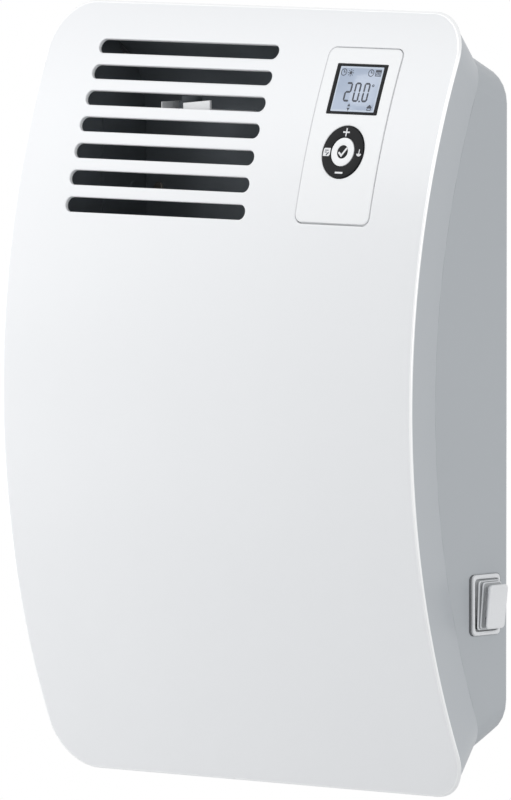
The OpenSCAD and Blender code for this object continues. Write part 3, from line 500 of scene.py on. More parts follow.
# Cells round the slots and the panel's opening, and the plain field, outside and inside. Also returns the
# places of the grid's columns and rows.
def coverFace(size, slots, panel):
    k, sheet, edge = size["cornerSteps"], size["sheet"], size["edge"]
    low, high = panelArc - blockHeight / 2, panelArc + blockHeight / 2
    radius, halfPitch = slots["height"] / 2, slots["pitch"] / 2
    half, end = slots["length"] / 2 + slots["margin"], slots["margin"] + radius
    along = even(slots["steps"])
    patches = []
    for i in range(slots["count"]):
        centre = (slots["x"], high - slots["pitch"] * (i + 0.5))
        patches.append(cell((half, halfPitch, (end, halfPitch)), (slots["length"] / 2, radius, radius),
                            k, along, even(0), centre, sheet, edge))
    # panel cell
    centre, along, upward = (panel["x"], panelArc), even(panel["steps"]), even(2 * k * slots["count"] - 2 * k)
    opening = [value + panel["seam"] for value in (panel["width"] / 2, panel["height"] / 2, panel["corner"])]
    panelHalf, run = opening[0] + panel["margin"], opening[2] + panel["margin"]
    patches.append(cell((panelHalf, blockHeight / 2, (run, halfPitch)), opening, k, along, upward, centre,
                        sheet, edge))
    # plain strip between the two, and the field below
    slotX = stops(slots["x"] - half, slots["x"] + half, end, k, slots["steps"])
    panelX = stops(panel["x"] - panelHalf, panel["x"] + panelHalf, run, k, panel["steps"])
    stripX = np.linspace(slotX[-1], panelX[0], size["stripSteps"] + 1)
    allX = np.concatenate([slotX[:-1], stripX[:-1], panelX])
    rows = np.linspace(low, high, 2 * k * slots["count"] + 1)
    fieldLow, fieldNext = size["fieldLow"], size["fieldLow"] + size["fieldRun"]
    fieldRows = np.concatenate([np.linspace(fieldLow, fieldNext, k + 1)[:-1],
                                np.linspace(fieldNext, low, size["fieldSteps"] + 1)])
    for depth in (0.0, sheet):
        patches += [plain(stripX, rows, depth), plain(allX, fieldRows, depth)]
    return patches, allX, np.concatenate([fieldRows[:-1], rows])


# The face's border is carried out to the rim, round its roll, down the skirt and back in to the face behind
def makeCover(size, slots, panel):
    k, sheet = size["cornerSteps"], size["sheet"]
    patches, allX, allRows = coverFace(size, slots, panel)
    borderX, borderArc = borderOf(allX, allRows)
    fx, fz = fractionsOf(allX, k), fractionsOf(allRows, k)

    def ring(insetX, insetZ, depth):
        return coverRing(insetX, insetZ, depth, fx, fz)

    skirtX = (size["width"] - size["bodyWidth"]) / 2
    skirtZ = (size["height"] - size["bodyHeight"]) / 2
    depth, roll, reach = size["skirtDepth"], size["roll"], size["reach"]
    border, tangent = bend(borderX, borderArc, 0.0), ring(roll, roll, 0.0)
    band = [border] + between(border, tangent, size["outerShares"], 0.0) + [tangent]
    rim = [ring(inset, inset, d) for inset, d in roundEdge(roll, size["rollRows"], size["rollTurn"])]
    # the roll takes material 2, the lighter white that paints a highlight along the edge
    patches += [(np.stack(band), True, 0), (np.stack(rim), True, 2)]
    # grey skirt, a little lighter than the body's grey as painted light: out from under the rim, straight
    # back, and in a short curve into the body's direction
    start, startDepth = size["skirtStart"]
    across, up = (skirtX - start) / (depth - startDepth), (skirtZ - start) / (depth - startDepth)

    def onSkirt(d):
        return start + across * (d - startDepth), start + up * (d - startDepth), d

    skirt = [rim[-1]]
    skirt += [ring(*onSkirt(d)) for d in np.linspace(startDepth, depth - size["crease"], size["skirtRows"])]
    curve = np.array([onSkirt(depth - size["crease"]), (skirtX, skirtZ, depth),
                      (skirtX, skirtZ + reach * size["tongueRise"], depth + reach)])
    for s in np.linspace(0, 1, size["skirtRows"])[1:]:
        skirt.append(ring(*((1 - s) ** 2 * curve[0] + 2 * s * (1 - s) * curve[1] + s * s * curve[2])))
    # ledge and tongue, which lie inside the body, and the skirt's inner face
    rise, thick, into = size["tongueRise"] * size["tongue"], size["tongueWall"], sheet * size["slanted"]
    tongueX = skirtX + size["bodyWall"] + size["tongueGap"]
    tongueZ = skirtZ + size["bodyWall"] + size["tongueGap"]
    before, behind = size["insideRows"]

    def inner(d):
        return skirtX * d / depth + into, skirtZ * d / depth + into * size["slanted"], d

    skirt += [
        ring(skirtX + size["ledge"][0], skirtZ + size["ledge"][1], depth + reach),
        ring(tongueX, tongueZ, depth + reach),
        ring(tongueX, tongueZ + rise, depth + size["tongue"]),
        ring(tongueX + thick, tongueZ + thick + rise, depth + size["tongue"]),
        ring(tongueX + thick, tongueZ + thick, depth - size["tongueRoot"]),
        ring(*inner(depth - before)),
        ring(*inner(sheet + behind)),
        ring(into + size["insideEdge"][0], into + size["insideEdge"][1], sheet),
    ]
    back = bend(borderX, borderArc, sheet)
    skirt += between(skirt[-1], back, size["innerShares"], sheet) + [back]
    patches.append((np.stack(skirt), True, 1))
    return sew("front_cover_skin", patches, sharp=size["sharp"])


cover = makeCover(coverSize, slotSize, panelSize)
# the rim's paint is a painted highlight, and the skirt's paint a grey lightened as painted light
dress(cover, "heater", "painted_steel", "front_cover", paints="painted_steel painted_skirt painted_rim")
print("front cover made:", len(cover.data.polygons), "faces")

# The cover's underside is cut for the inlet grille and the supply gland

underside = {
    "grilleWidth": 212.0, "grilleDepth": 21.0, "grilleCorner": 4.0, "grilleCut": (-5, 12), "cornerSteps": 4,
    "glandX": 100.0, "glandHole": 10.0, "glandCut": (-6, 14), "holeSteps": 12,
    "skirtTop": (0.07, 2.9),  # inset and depth at which the skirt's slope starts in the solids
    "gap": 10.0, "backHeight": 400.6,
}


# Rounded loop drawn along its own upright axis from one height to another, then tipped about x and moved
def tippedBlock(name, flat, heights, tilt, place):
    x, z = flat.T
    rows = []
    for h in heights:
        y, up = z * math.cos(tilt) - h * math.sin(tilt), z * math.sin(tilt) + h * math.cos(tilt)
        rows.append(np.column_stack([x, y, up]) + np.array(place))
    return sewRows(name, np.stack(rows), True)


# Both cutters sit at the middle of a slope seen from the side, tipped by that slope's angle
def cutUnderside(piece, size, cut):
    inset, depth = cut["skirtTop"]
    startZ, creaseZ, backZ = size["height"] / 2 - inset, size["bodyHeight"] / 2, cut["backHeight"] / 2
    startY, creaseY, backY = bowY(startZ, depth), bowY(creaseZ, size["skirtDepth"]), -cut["gap"]
    flat = roundLoop(cut["grilleWidth"] / 2, cut["grilleDepth"] / 2, cut["grilleCorner"], cut["cornerSteps"],
                     even(1), even(1))
    window = tippedBlock("window", flat, cut["grilleCut"], math.atan((startZ - creaseZ) / (creaseY - startY)),
                         (0, (startY + creaseY) / 2, -(startZ + creaseZ) / 2))
    hole = tippedBlock("hole", circleLoop(cut["glandHole"], cut["holeSteps"]), cut["glandCut"],
                       math.atan((creaseZ - backZ) / (backY - creaseY)),
                       (cut["glandX"], (creaseY + backY) / 2, -(creaseZ + backZ) / 2))
    carve(piece, [window, hole], size["sharp"])


cutUnderside(cover, coverSize, underside)
print("underside cut")

# Pieces made of stacked loops: each row is half a width, half a height, a corner radius and a depth

leastCorner = 0.05


# Flat loop as points (across, depth, up)
def atDepth(flat, depth):
    return np.column_stack([flat[:, 0], np.full(len(flat), depth), flat[:, 1]])


# The rows' loops as one grid of such points, with k steps to half a corner and m along a side
def stack(rows, k, m):
    return np.stack([atDepth(roundLoop(halfW, halfH, corner, k, even(m), even(m)), depth)
                     for halfW, halfH, corner, depth in rows])


# Rows of a quarter round, from the flat top r in from the side to the side itself. The depth grows from
# the top, or falls where down is -1.
def quarter(halfW, halfH, corner, top, r, steps=5, down=1):
    return [(halfW - inset, halfH - inset, max(leastCorner, corner - inset), top + down * depth)
            for inset, depth in roundEdge(r, steps)]


# Control panel: a cell round the ring's hole, a cell round the display, a field below, and a band round all

fasciaSize = {
    "edge": 0.4, "backEdge": 0.2, "border": 1.4, "windowEdge": 0.4,
    "ringArc": 153.25, "ringHole": 16.4, "ringCell": 40.1,
    "displayArc": 192.55, "displayHalf": (20.05, 15.95), "displayCorner": 0.6, "displayCell": 38.5,
    "half": 24.0, "low": 114.1, "steps": 24, "cornerSteps": 4, "fieldSteps": 10,
    "shift": (-0.25, 0.32), "shorter": 0.32,  # the seam is narrower at the left and the top
}


# Two cells and a field as on the cover, on a plate whose outline is a round loop drawn in by an inset
def makeFascia(size, panel):
    thick, edge, n, half, middleX = panel["thick"], size["edge"], size["steps"], size["half"], panel["x"]
    k = size["cornerSteps"]
    centre, ringHalf, radius = (middleX, size["ringArc"]), size["ringCell"] / 2, size["ringHole"]
    patches = [cell((half, ringHalf, (half, ringHalf)), (radius, radius, radius), n // 2, even(0), even(0),
                    centre, thick, edge)]
    centre, tall, along = (middleX, size["displayArc"]), size["displayCell"], even(n - 2 * k)
    runs = (2 * half * k / n, tall * k / n)
    window = (*size["displayHalf"], size["displayCorner"])
    patches.append(cell((half, tall / 2, runs), window, k, along, along, centre, thick,
                        edge * size["windowEdge"]))
    # plain field below the two cells, outside and inside
    xs = np.linspace(middleX - half, middleX + half, n + 1)
    ringLow = size["ringArc"] - ringHalf
    ringHigh = ringLow + size["ringCell"]
    fieldRows = np.linspace(size["low"], ringLow, size["fieldSteps"] + 1)
    patches += [plain(xs, fieldRows, depth) for depth in (0.0, thick)]
    # band from the border out to the plate's round edge and back in behind
    rows = np.concatenate([fieldRows[:-1], np.linspace(ringLow, ringHigh, n + 1)[:-1],
                           np.linspace(ringHigh, ringHigh + tall, n + 1)])
    borderX, borderArc = borderOf(xs, rows)
    fx, fz = fractionsOf(xs, k), fractionsOf(rows, k)
    centre = (middleX + size["shift"][0], panelArc + size["shift"][1])

    def ring(inset, depth):
        flat = roundLoop(panel["width"] / 2 - inset, panel["height"] / 2 - size["shorter"] - inset,
                         panel["corner"] - inset, k, fx, fz, centre)
        return bend(*flat.T, depth)

    border, inside = bend(borderX, borderArc, 0.0), ring(size["border"], 0.0)
    back = size["backEdge"]
    band = [border, border + (inside - border) * 0.5, inside]
    band += [ring(*step) for step in roundEdge(edge)]
    band += [ring(0, thick - back), ring(back, thick), ring(size["border"], thick)]
    patches.append((np.stack(band + [bend(borderX, borderArc, thick)]), True, 0))
    return sew("control_fascia_skin", patches)


dress(makeFascia(fasciaSize, panelSize), "heater", "moulded_white", "control_fascia")

# Display: black frame, pale pane with a lighter border, and dark symbols laid on it

displaySize = {
    "drop": 26.1,  # from the panel's top to the display's middle
    "half": (20.0, 15.9), "corner": 0.55, "thick": 2.2, "edge": 0.25,
    "paneHalf": (17.2, 14.3), "paneCorner": 0.4, "paneDepth": 0.2, "paneEdge": 0.1, "gap": 0.05,
    "slope": ((1, 0.0), (0.3, 0.07), (0, 0.2)),  # frame's inner edge: share of its radius, and depth
    "border": ((0.2, 0.6), (1.1, 0.5)), "borderProud": 0.02,  # outer and inner edge: inset and corner
    "cornerSteps": 4, "frameSteps": 6, "paneSteps": 2, "edgeSteps": 3,
}
displayArc = panelTop - displaySize["drop"]


# Stacked rows laid on the front at the display's middle
def onDisplay(rows, sideSteps):
    return onFront(displayArc, panelSize["x"], stack(rows, displaySize["cornerSteps"], sideSteps))


# Stacks of round loops: the frame's and the border's go round in a ring, and the pane's is capped
def makeDisplay(size):
    (w, h), (paneW, paneH) = size["half"], size["paneHalf"]
    corner, edge, thick, top = size["paneCorner"], size["edge"], size["thick"], size["paneDepth"]
    rows = quarter(w, h, size["corner"], 0.0, edge)[::-1]
    rows += [(paneW + s * edge, paneH + s * edge, corner + s * edge, d) for s, d in size["slope"]]
    rows += [(paneW, paneH, corner, thick), (w, h, size["corner"], thick)]
    grid = onDisplay(rows + rows[:1], size["frameSteps"])
    dress(sewRows("lcd_frame_skin", grid), "heater", "dark_plastic", "lcd_frame")
    w, h = paneW - size["gap"], paneH - size["gap"]
    rows = quarter(w, h, corner, top, size["paneEdge"], size["edgeSteps"])
    rows.append((w, h, corner, panelSize["thick"]))
    grid = onDisplay(rows, size["paneSteps"])
    dress(sewRows("lcd_pane_skin", grid, True), "heater", "display_pane", "lcd_pane")
    outer, inner = [(paneW - inset, paneH - inset, radius) for inset, radius in size["border"]]
    low, high = top + size["borderProud"], top - size["borderProud"]
    rows = [outer + (low,), outer + (high,), inner + (high,), inner + (low,)]
    grid = onDisplay(rows + rows[:1], size["paneSteps"])
    dress(sewRows("lcd_border", grid), "heater", "display_pane", paints="display_edge")


makeDisplay(displaySize)

# Flat symbols, in (x, arc): each shape is an outline, or an outer and an inner loop of equal length


# Straight stroke between two points
def bar(x0, z0, x1, z1, width):
    a, b = np.array([x0, z0], float), np.array([x1, z1], float)
    side = np.array([a[1] - b[1], b[0] - a[0]]) / np.linalg.norm(b - a) * width / 2
    return np.array([a + side, a - side, b - side, b + side])


# Disc about (x, z), and the hoop of a stroke's width inside its edge
def disc(x, z, r, count=28):
    a = 2 * math.pi * np.arange(count) / count
    return np.column_stack([x + r * np.cos(a), z + r * np.sin(a)])


def hoop(x, z, r, width):
    return disc(x, z, r), disc(x, z, r - width)


# Upright rectangle between two corners, and its outline as a stroke
def slab(x0, z0, x1, z1):
    return np.array([[x0, z0], [x1, z0], [x1, z1], [x0, z1]], float)


def openSlab(x0, z0, x1, z1, width):
    return slab(x0, z0, x1, z1), slab(x0 + width, z0 + width, x1 - width, z1 - width)


# Digit of bars with pointed ends, as on a display with seven bars to a digit
def digit(bars, x0, z0, x1, z1, width, gap):
    middle, g, h = (z0 + z1) / 2, width * gap, width / 2

    def level(z):
        return np.array([[x0 + g, z], [x0 + h + g, z + h], [x1 - h - g, z + h], [x1 - g, z],
                         [x1 - h - g, z - h], [x0 + h + g, z - h]])

    def upright(x, low, high):
        return np.array([[x, low + g], [x + h, low + h + g], [x + h, high - h - g], [x, high - g],
                         [x - h, high - h - g], [x - h, low + h + g]])

    made = {"top": level(z1), "middle": level(middle), "base": level(z0),
            "upperLeft": upright(x0, middle, z1), "upperRight": upright(x1, middle, z1),
            "lowerLeft": upright(x0, z0, middle), "lowerRight": upright(x1, z0, middle)}
    return [made[name] for name in bars.split()]


# Symbols as thin solids on the front, from a base depth out to their top
def printOn(name, shapes, arc, base, top, body, paint):
    x = panelSize["x"]
    patches, caps = [], []

    def lift(flat, depth):
        return onFront(arc, x, atDepth(flat - (x, arc), depth))

    for shape in shapes:
        if isinstance(shape, tuple):
            outer, inner = shape
            rows = [lift(outer, base), lift(outer, top), lift(inner, top), lift(inner, base)]
            rows.append(rows[0])
        else:
            rows = [lift(shape, base), lift(shape, top)]
            caps += rows
        patches.append((np.stack(rows), True, 0))
    dress(sew(name, patches, caps, weld=0.0005), body, "dark_plastic", paints=paint)


zero = "top base upperLeft upperRight lowerLeft lowerRight"
two = "top middle base upperRight lowerLeft"
displayPrint = {
    "digits": ((two, 82.7, 86.7), (zero, 89.9, 93.6), (zero, 97.1, 100.7)),
    "digitSpan": (185.1, 196.2), "digitStroke": 1.2, "digitGap": 0.04,
    "point": (95.3, 184.95, 0.6), "degree": (103.4, 195.1, 0.85),
    "stroke": 0.45,
    "clocks": (77.8, 99.3), "clockArc": 203.0, "clockRadius": 2.3,
    "clockHands": ((0, -0.2, 0, 1.5), (-0.1, 0, 1.2, 0)),
    "sun": (83.3, 202.7), "sunRadius": 1.05, "rays": 8, "raySpan": (1.45, 2.3),
    "page": (102.7, 201.0, 107.3, 205.0), "pageStroke": 0.4, "pageHead": (103.1, 203.6, 106.9, 204.6),
    "daysAt": (103.6, 104.7, 105.8), "daysUp": (201.7, 202.7), "day": 0.7,
    "triangles": (((86.8, 181.6), (89.2, 181.6), (88.0, 183.5)),  # two arrow heads and a roof
                  ((86.8, 180.7), (88.0, 178.7), (89.2, 180.7)),
                  ((102.0, 181.2), (106.6, 181.2), (104.3, 183.2))),
    "house": (102.7, 179.3, 105.9, 181.2),
    "proud": 0.06, "sink": 0.02,
}


# Number with its point and degree, two clocks, sun with rays, calendar, arrow heads and house
def displaySymbols(size):
    stroke = size["stroke"]
    low, high = size["digitSpan"]
    shapes = []
    for bars, left, right in size["digits"]:
        shapes += digit(bars, left, low, right, high, size["digitStroke"], size["digitGap"])
    shapes += [disc(*size["point"]), hoop(*size["degree"], stroke)]
    z = size["clockArc"]
    for x in size["clocks"]:
        shapes.append(hoop(x, z, size["clockRadius"], stroke))
        shapes += [bar(x + a, z + b, x + c, z + d, stroke) for a, b, c, d in size["clockHands"]]
    x, z = size["sun"]
    near, far = size["raySpan"]
    shapes.append(disc(x, z, size["sunRadius"]))
    for i in range(size["rays"]):
        turn = 2 * math.pi * i / size["rays"]
        c, s = math.cos(turn), math.sin(turn)
        shapes.append(bar(x + near * c, z + near * s, x + far * c, z + far * s, stroke))
    day = size["day"]
    shapes += [openSlab(*size["page"], size["pageStroke"]), slab(*size["pageHead"])]
    shapes += [slab(x, z, x + day, z + day) for x in size["daysAt"] for z in size["daysUp"]]
    shapes += [np.array(corners) for corners in size["triangles"]]
    return shapes + [openSlab(*size["house"], stroke)]


paneTop = displaySize["paneDepth"]
printOn("lcd_symbols", displaySymbols(displayPrint), displayArc, paneTop + displayPrint["sink"],
        paneTop - displayPrint["proud"], "heater", "print_dark")
print("display made")

# Ring, middle key and inlay are profiles (radius, depth) turned about their middle

keySize = {
    "drop": 65.4,  # from the panel's top to the ring's middle
    "ringOuter": 16.05, "ringInner": 9.15, "proud": 0.5, "edge": 0.35, "base": 4.2,
    "lip": 17.95, "lipTop": 3.4,
    "key": 8.8, "keyProud": 0.6, "keyEdge": 0.3, "keyBase": 3.4,
    "inlay": 4.1, "inlayEdge": 0.1, "inlayBase": -0.1, "seatGap": 0.05, "seatEdge": 0.12,
    "count": 96,
}
ringArc = panelTop - keySize["drop"]


# Each profile point goes round a circle: (r cos a, depth, r sin a)
def turned(name, profile, closed, body, slot, node):
    rows = [atDepth(disc(0, 0, r, keySize["count"]), d) for r, d in profile]
    if closed:
        rows.append(rows[0])
    grid = onFront(ringArc, panelSize["x"], np.stack(rows))
    dress(sewRows(name, grid), body, slot, node)


# Quarter round from the top's flat out to radius r, or in to it where inwards is 1
def rounded(r, d, edge, inwards):
    return [(r + inwards * inset, d + depth) for inset, depth in roundEdge(edge)]


# The ring's profile is closed, with a lip under the panel, and the key's and the inlay's end at the middle
def makeKeys(size):
    inner, outer, lip, top = size["ringInner"], size["ringOuter"], size["lip"], -size["proud"]
    profile = [(inner, size["base"])] + rounded(inner, top, size["edge"], 1)[::-1]
    profile += rounded(outer, top, size["edge"], -1)
    profile += [(outer, size["lipTop"]), (lip, size["lipTop"]), (lip, size["base"])]
    turned("nav_ring_skin", profile, True, "ring", "dark_plastic", "nav_ring")
    key, inlay, seat, top = size["key"], size["inlay"], size["inlay"] + size["seatGap"], -size["keyProud"]
    profile = [(0, 0.0), (seat, 0.0)] + rounded(seat, top, size["seatEdge"], 1)[::-1]
    profile += rounded(key, top, size["keyEdge"], -1) + [(key, size["keyBase"]), (0, size["keyBase"])]
    turned("ok_key_skin", profile, False, "middle_key", "moulded_white", "ok_key")
    profile = [(0, top)] + rounded(inlay, top, size["inlayEdge"], -1)
    profile += [(inlay, size["inlayBase"]), (0, size["inlayBase"])]
    turned("ok_inlay_skin", profile, False, "middle_key", "dark_plastic", "ok_inlay")


makeKeys(keySize)

keyPrint = {
    "plus": ((91.2, 162.8), (92.1, 162.8), (92.1, 164.95), (94.2, 164.95), (94.2, 165.85), (92.1, 165.85),
             (92.1, 167.9), (91.2, 167.9), (91.2, 165.85), (89.0, 165.85), (89.0, 164.95), (91.2, 164.95)),
    "minus": (88.6, 139.85, 94.6, 140.95),
    "page": ((76.5, 150.3), (80.9, 150.3), (81.8, 151.2), (81.8, 155.3), (77.2, 155.3), (76.5, 154.5)),
    "pageMarks": ((77.5, 153.9, 80.3, 153.9, 0.5), (77.5, 152.7, 79.4, 152.7, 0.5),  # two lines and a pen
                  (78.9, 150.9, 80.7, 152.6, 0.8)),
    "bowlX": 104.5, "bowlOuter": (152.5, 1.8, 1.6), "bowlInner": (152.6, 0.95, 0.7), "bowlSteps": 14,
    "stem": (104.5, 152.7, 104.5, 155.2, 0.7), "ball": (104.5, 152.4, 0.6),
    "tick": ((88.1, 152.5), (89.0, 153.4), (90.9, 151.9), (94.1, 156.1), (95.1, 155.4), (91.1, 150.0)),
    "proud": 0.03, "ringSink": 0.05, "pageProud": 0.06, "pageSink": 0.02, "tickSink": 0.05,
}


# Lower half of an ellipse, from left to right: middle's arc, half a width and half a height
def halfEllipse(x, ellipse, steps):
    z, across, up = ellipse
    a = np.radians(np.linspace(180, 360, steps + 1))
    return np.column_stack([x + across * np.cos(a), z + up * np.sin(a)])


# Plus, minus, page with a pen, and upright stroke over a bowl on the ring, and a tick on the key
def printKeys(size, printed):
    bowl = np.concatenate([halfEllipse(printed["bowlX"], printed["bowlOuter"], printed["bowlSteps"]),
                           halfEllipse(printed["bowlX"], printed["bowlInner"], printed["bowlSteps"])[::-1]])
    shapes = [np.array(printed["plus"]), slab(*printed["minus"]), np.array(printed["page"]), bowl,
              bar(*printed["stem"]), disc(*printed["ball"])]
    top = -size["proud"]
    printOn("ring_symbols", shapes, ringArc, top + printed["ringSink"], top - printed["proud"], "ring",
            "print_white")
    printOn("page_lines", [bar(*mark) for mark in printed["pageMarks"]], ringArc, top - printed["pageSink"],
            top - printed["pageProud"], "ring", "print_dark")
    top = -size["keyProud"]
    printOn("tick", [np.array(printed["tick"])], ringArc, top + printed["tickSink"], top - printed["proud"],
            "middle_key", "print_white")


printKeys(keySize, keyPrint)
print("ring and key made")

# Switch on the right side. Rows are half a width, half a height, a corner radius and a height off the side.

switchSize = {
    "sideX": 152.0, "y": -31.2, "z": -120.2,
    "plate": (12.5, 18.25, 3.0), "plateThick": 2.2, "round": 1.0,
    "opening": (10.9, 15.7, 2.2), "openingEdge": 0.3,
    # the next row is the thin dark ring round the plate, a painted contact shadow
    "seal": (14.1, 18.4, 3.6, 0.5),
    "folds": ((9.5, 14.9, 2.0, 3.0, 0.04), (8.4, 14.0, 1.8, 4.8, 0.085)),  # the last is how far each leans
    "foldThick": 1.0, "foldDepth": 2.2, "foldCorner": 0.8, "foldAngles": (-90, -60, -30, 0, 30, 60, 90),
    "bootHole": (5.6, 7.9, 0.8), "bootFoot": 0.6, "bootGap": 0.2, "bootTop": 6.0,
    "cap": (8.3, 13.4, 2.6), "capX": 8.307, "capThick": 3.0, "capRound": 1.1,
    "dish": ((3.5, 1.2, 0.25), (2.2, 1.4, 0.12)),  # rows of the cap's hollow top: inset, corner and depth
    "draft": 1.2, "draftShares": (0.9, 0.4), "footEdge": 0.3, "wedge": 0.06,
    "stem": (5, 7, 0.6), "stemLow": -2.0, "tilt": 4.0, "pivot": 151.4,
    "cornerSteps": 6, "sideSteps": 4, "roundSteps": 6, "capSteps": 7,
}


# Stacked loops stood on the right side: across becomes +y, and depth becomes +x
def onSide(rows):
    size = switchSize
    flat = stack(rows, size["cornerSteps"], size["sideSteps"])
    return np.stack([size["sideX"] + flat[..., 1], size["y"] + flat[..., 0], size["z"] + flat[..., 2]], -1)


# The same, with each row's height off the side growing up the switch by its slope
def leaning(rows, slopes):
    grid = onSide(rows)
    grid[..., 0] += (grid[..., 2] - switchSize["z"]) * np.array(slopes)[:, None]
    return grid


# Flat frame with round outer edges, and round it a thin dark ring that is painted shadow where the frame
# meets the side
def makeSwitchFrame(size):
    w, h, corner = size["plate"]
    thick, edge = size["plateThick"], size["openingEdge"]
    openW, openH, openCorner = size["opening"]
    rows = [(w, h, corner, 0.0)] + quarter(w, h, corner, thick, size["round"], size["roundSteps"], -1)[::-1]
    rows += [(openW + edge, openH + edge, openCorner + edge, thick),
             (openW, openH, openCorner, thick - edge), (openW, openH, openCorner, 0.0)]
    grid = onSide(rows + rows[:1])
    dress(sewRows("switch_frame_skin", grid), "heater", "switch_plastic", "switch_frame")
    w, h, corner, tall = size["seal"]
    rows = [(w, h, corner, 0.0), (w, h, corner, tall), (openW, openH, openCorner, tall),
            (openW, openH, openCorner, 0.0)]
    grid = onSide(rows + rows[:1])
    dress(sewRows("switch_shadow_ring", grid), "heater", "grey_rubber", paints="painted_shadow_rubber")


# Bellows: two ridges with deep grooves round them, leaning more the further out they are. The grooves
# have a darker grey, which is painted shade. A ridge's edge is half a circle, with insets half (1 - cos t)
# and rises half sin t.
def makeBellows(size):
    deep, half, gap = size["foldDepth"], size["foldThick"] / 2, size["bootGap"]
    openW, openH, openCorner = size["opening"]
    hole, foot = size["bootHole"], size["bootFoot"]
    angles = np.radians(size["foldAngles"])
    patches = []
    groove, lean = [hole + (foot,), (openW - gap, openH - gap, openCorner, foot)], [0.0, 0.0]
    for w, h, corner, out, slope in size["folds"]:
        cut = (w - deep, h - deep, size["foldCorner"])
        insets, rises = half * (1 - np.cos(angles)), half * np.sin(angles)
        ridge = [(w - inset, h - inset, corner, out + rise) for inset, rise in zip(insets, rises)]
        groove += [cut + (out - half,), ridge[0]]
        patches += [(leaning(groove, lean + [slope, slope]), True, 1),
                    (leaning(ridge, [slope] * len(ridge)), True, 0)]
        groove, lean = [ridge[-1], cut + (out + half,)], [slope, slope]
    groove += [hole + (size["bootTop"],), hole + (foot,)]
    patches.append((leaning(groove, lean + [slope, 0.0]), True, 1))
    boot = sew("switch_boot_skin", patches)
    dress(boot, "heater", "switch_rubber", "switch_boot", paints="switch_rubber fold_shade")


# Cap on its stem, a slight wedge tipped about the pivot: x = out cos + up sin, z = up cos - out sin
def makeCap(size):
    w, h, corner = size["cap"]
    foot, edge, narrow = size["capX"], size["footEdge"], size["draft"]
    top = foot + size["capThick"]
    sideShare, endShare = size["draftShares"]
    rows = [(w - inset, h - inset, radius, top - deep) for inset, radius, deep in size["dish"]]
    rows += quarter(w, h, corner, top, size["capRound"], size["capSteps"], -1)
    rows += [(w - narrow * sideShare, h - narrow * endShare, corner, foot + edge),
             (w - narrow - edge, h - narrow * endShare - edge, corner - edge, foot),
             size["stem"] + (foot,), size["stem"] + (size["stemLow"],)]
    flat = stack(rows, size["cornerSteps"], size["sideSteps"])
    turn = math.radians(size["tilt"])
    out, up = flat[..., 1], flat[..., 2]
    out = out + size["wedge"] * up * np.clip((out - foot - edge) / size["capThick"], 0, 1)
    grid = np.stack([size["pivot"] + out * math.cos(turn) + up * math.sin(turn), size["y"] + flat[..., 0],
                     size["z"] - out * math.sin(turn) + up * math.cos(turn)], -1)
    dress(sewRows("switch_rocker_skin", grid, True), "rocker", "switch_plastic", "switch_rocker")


makeSwitchFrame(switchSize)
makeBellows(switchSize)
makeCap(switchSize)
print("switch made")

# Holder behind the third slot: a low shelf, a white tab with a slanted top at its front and a side wall

holderSize = {
    "x": (-69.0, -27.7), "y": (-77.0, -34.0), "low": 168.6, "shelfTop": 170.0,
    "tabX": (-47.4, -25.9), "tabY": (-78.6, -76.8), "tabTop": (175.7, 177.9),
    "wallX": (-69.0, -68.4), "wallY": (-74.3, -54.0), "wallTop": 175.7,
    "edge": 0.15, "cutoutDrop": 2.9,
}


# Box as a closed ring of four upright edges, the top at one height on the left and another on the right
def slantedBox(name, x, y, low, tops):
    corners = [(x[0], y[0], tops[0]), (x[1], y[0], tops[1]), (x[1], y[1], tops[1]), (x[0], y[1], tops[0])]
    base = np.array([(c[0], c[1], low) for c in corners])
    top = np.array(corners)
    return sewRows(name, np.stack([base, top]), True)


# Three such boxes, with their edges rounded
def makeHolder(size):
    low, shelfTop, wallTop = size["low"], size["shelfTop"], size["wallTop"]
    shelf = slantedBox("cutout_holder_skin", size["x"], size["y"], low, (shelfTop, shelfTop))
    tab = slantedBox("holder_tab", size["tabX"], size["tabY"], low, size["tabTop"])
    wall = slantedBox("holder_wall", size["wallX"], size["wallY"], low, (wallTop, wallTop))
    for piece in (shelf, tab, wall):
        bevel = piece.modifiers.new("edges", "BEVEL")
        bevel.width = size["edge"] * mm
        bevel.segments = 2
        bake(piece)
    dress(shelf, "heater", "inner_plastic", "cutout_holder")
    dress(tab, "heater", "inner_plastic")
    dress(wall, "heater", "inner_plastic")


makeHolder(holderSize)

# Other metalwork and mouldings keep the shape of their nodes, with edges rounded by these widths. Some have
# another paint than the record's, because the photograph shows them darker.

softened = {
    "rear_housing": 0.0, "intake_grille": 0.3, "wall_bracket": 0.35, "wall_pads": 0.5, "cover_screws": 0.3,
    "cable_gland": 0.4, "earth_stud": 0.25, "heat_shield": 0.0, "shield_screws": 0.3, "duct_rivets": 0.1,
    "thermal_cutout": 0.3, "partition_wall": 0.0, "duct_side": 0.0, "element_tube": 0.0, "element_fins": 0.0,
    "element_brackets": 0.2, "element_bushes": 0.4,
}
# the cutout and rivets take the dark galvanised paint, which is painted shade inside the heater
otherPaint = {"rear_housing": "painted_grey", "intake_grille": "painted_grey", "thermal_cutout": "galvanised",
              "shield_screws": "sheath", "duct_rivets": "galvanised"}
copySize = {"weld": 0.001, "flatAngle": 0.3, "sharp": 30.0, "segments": 2}


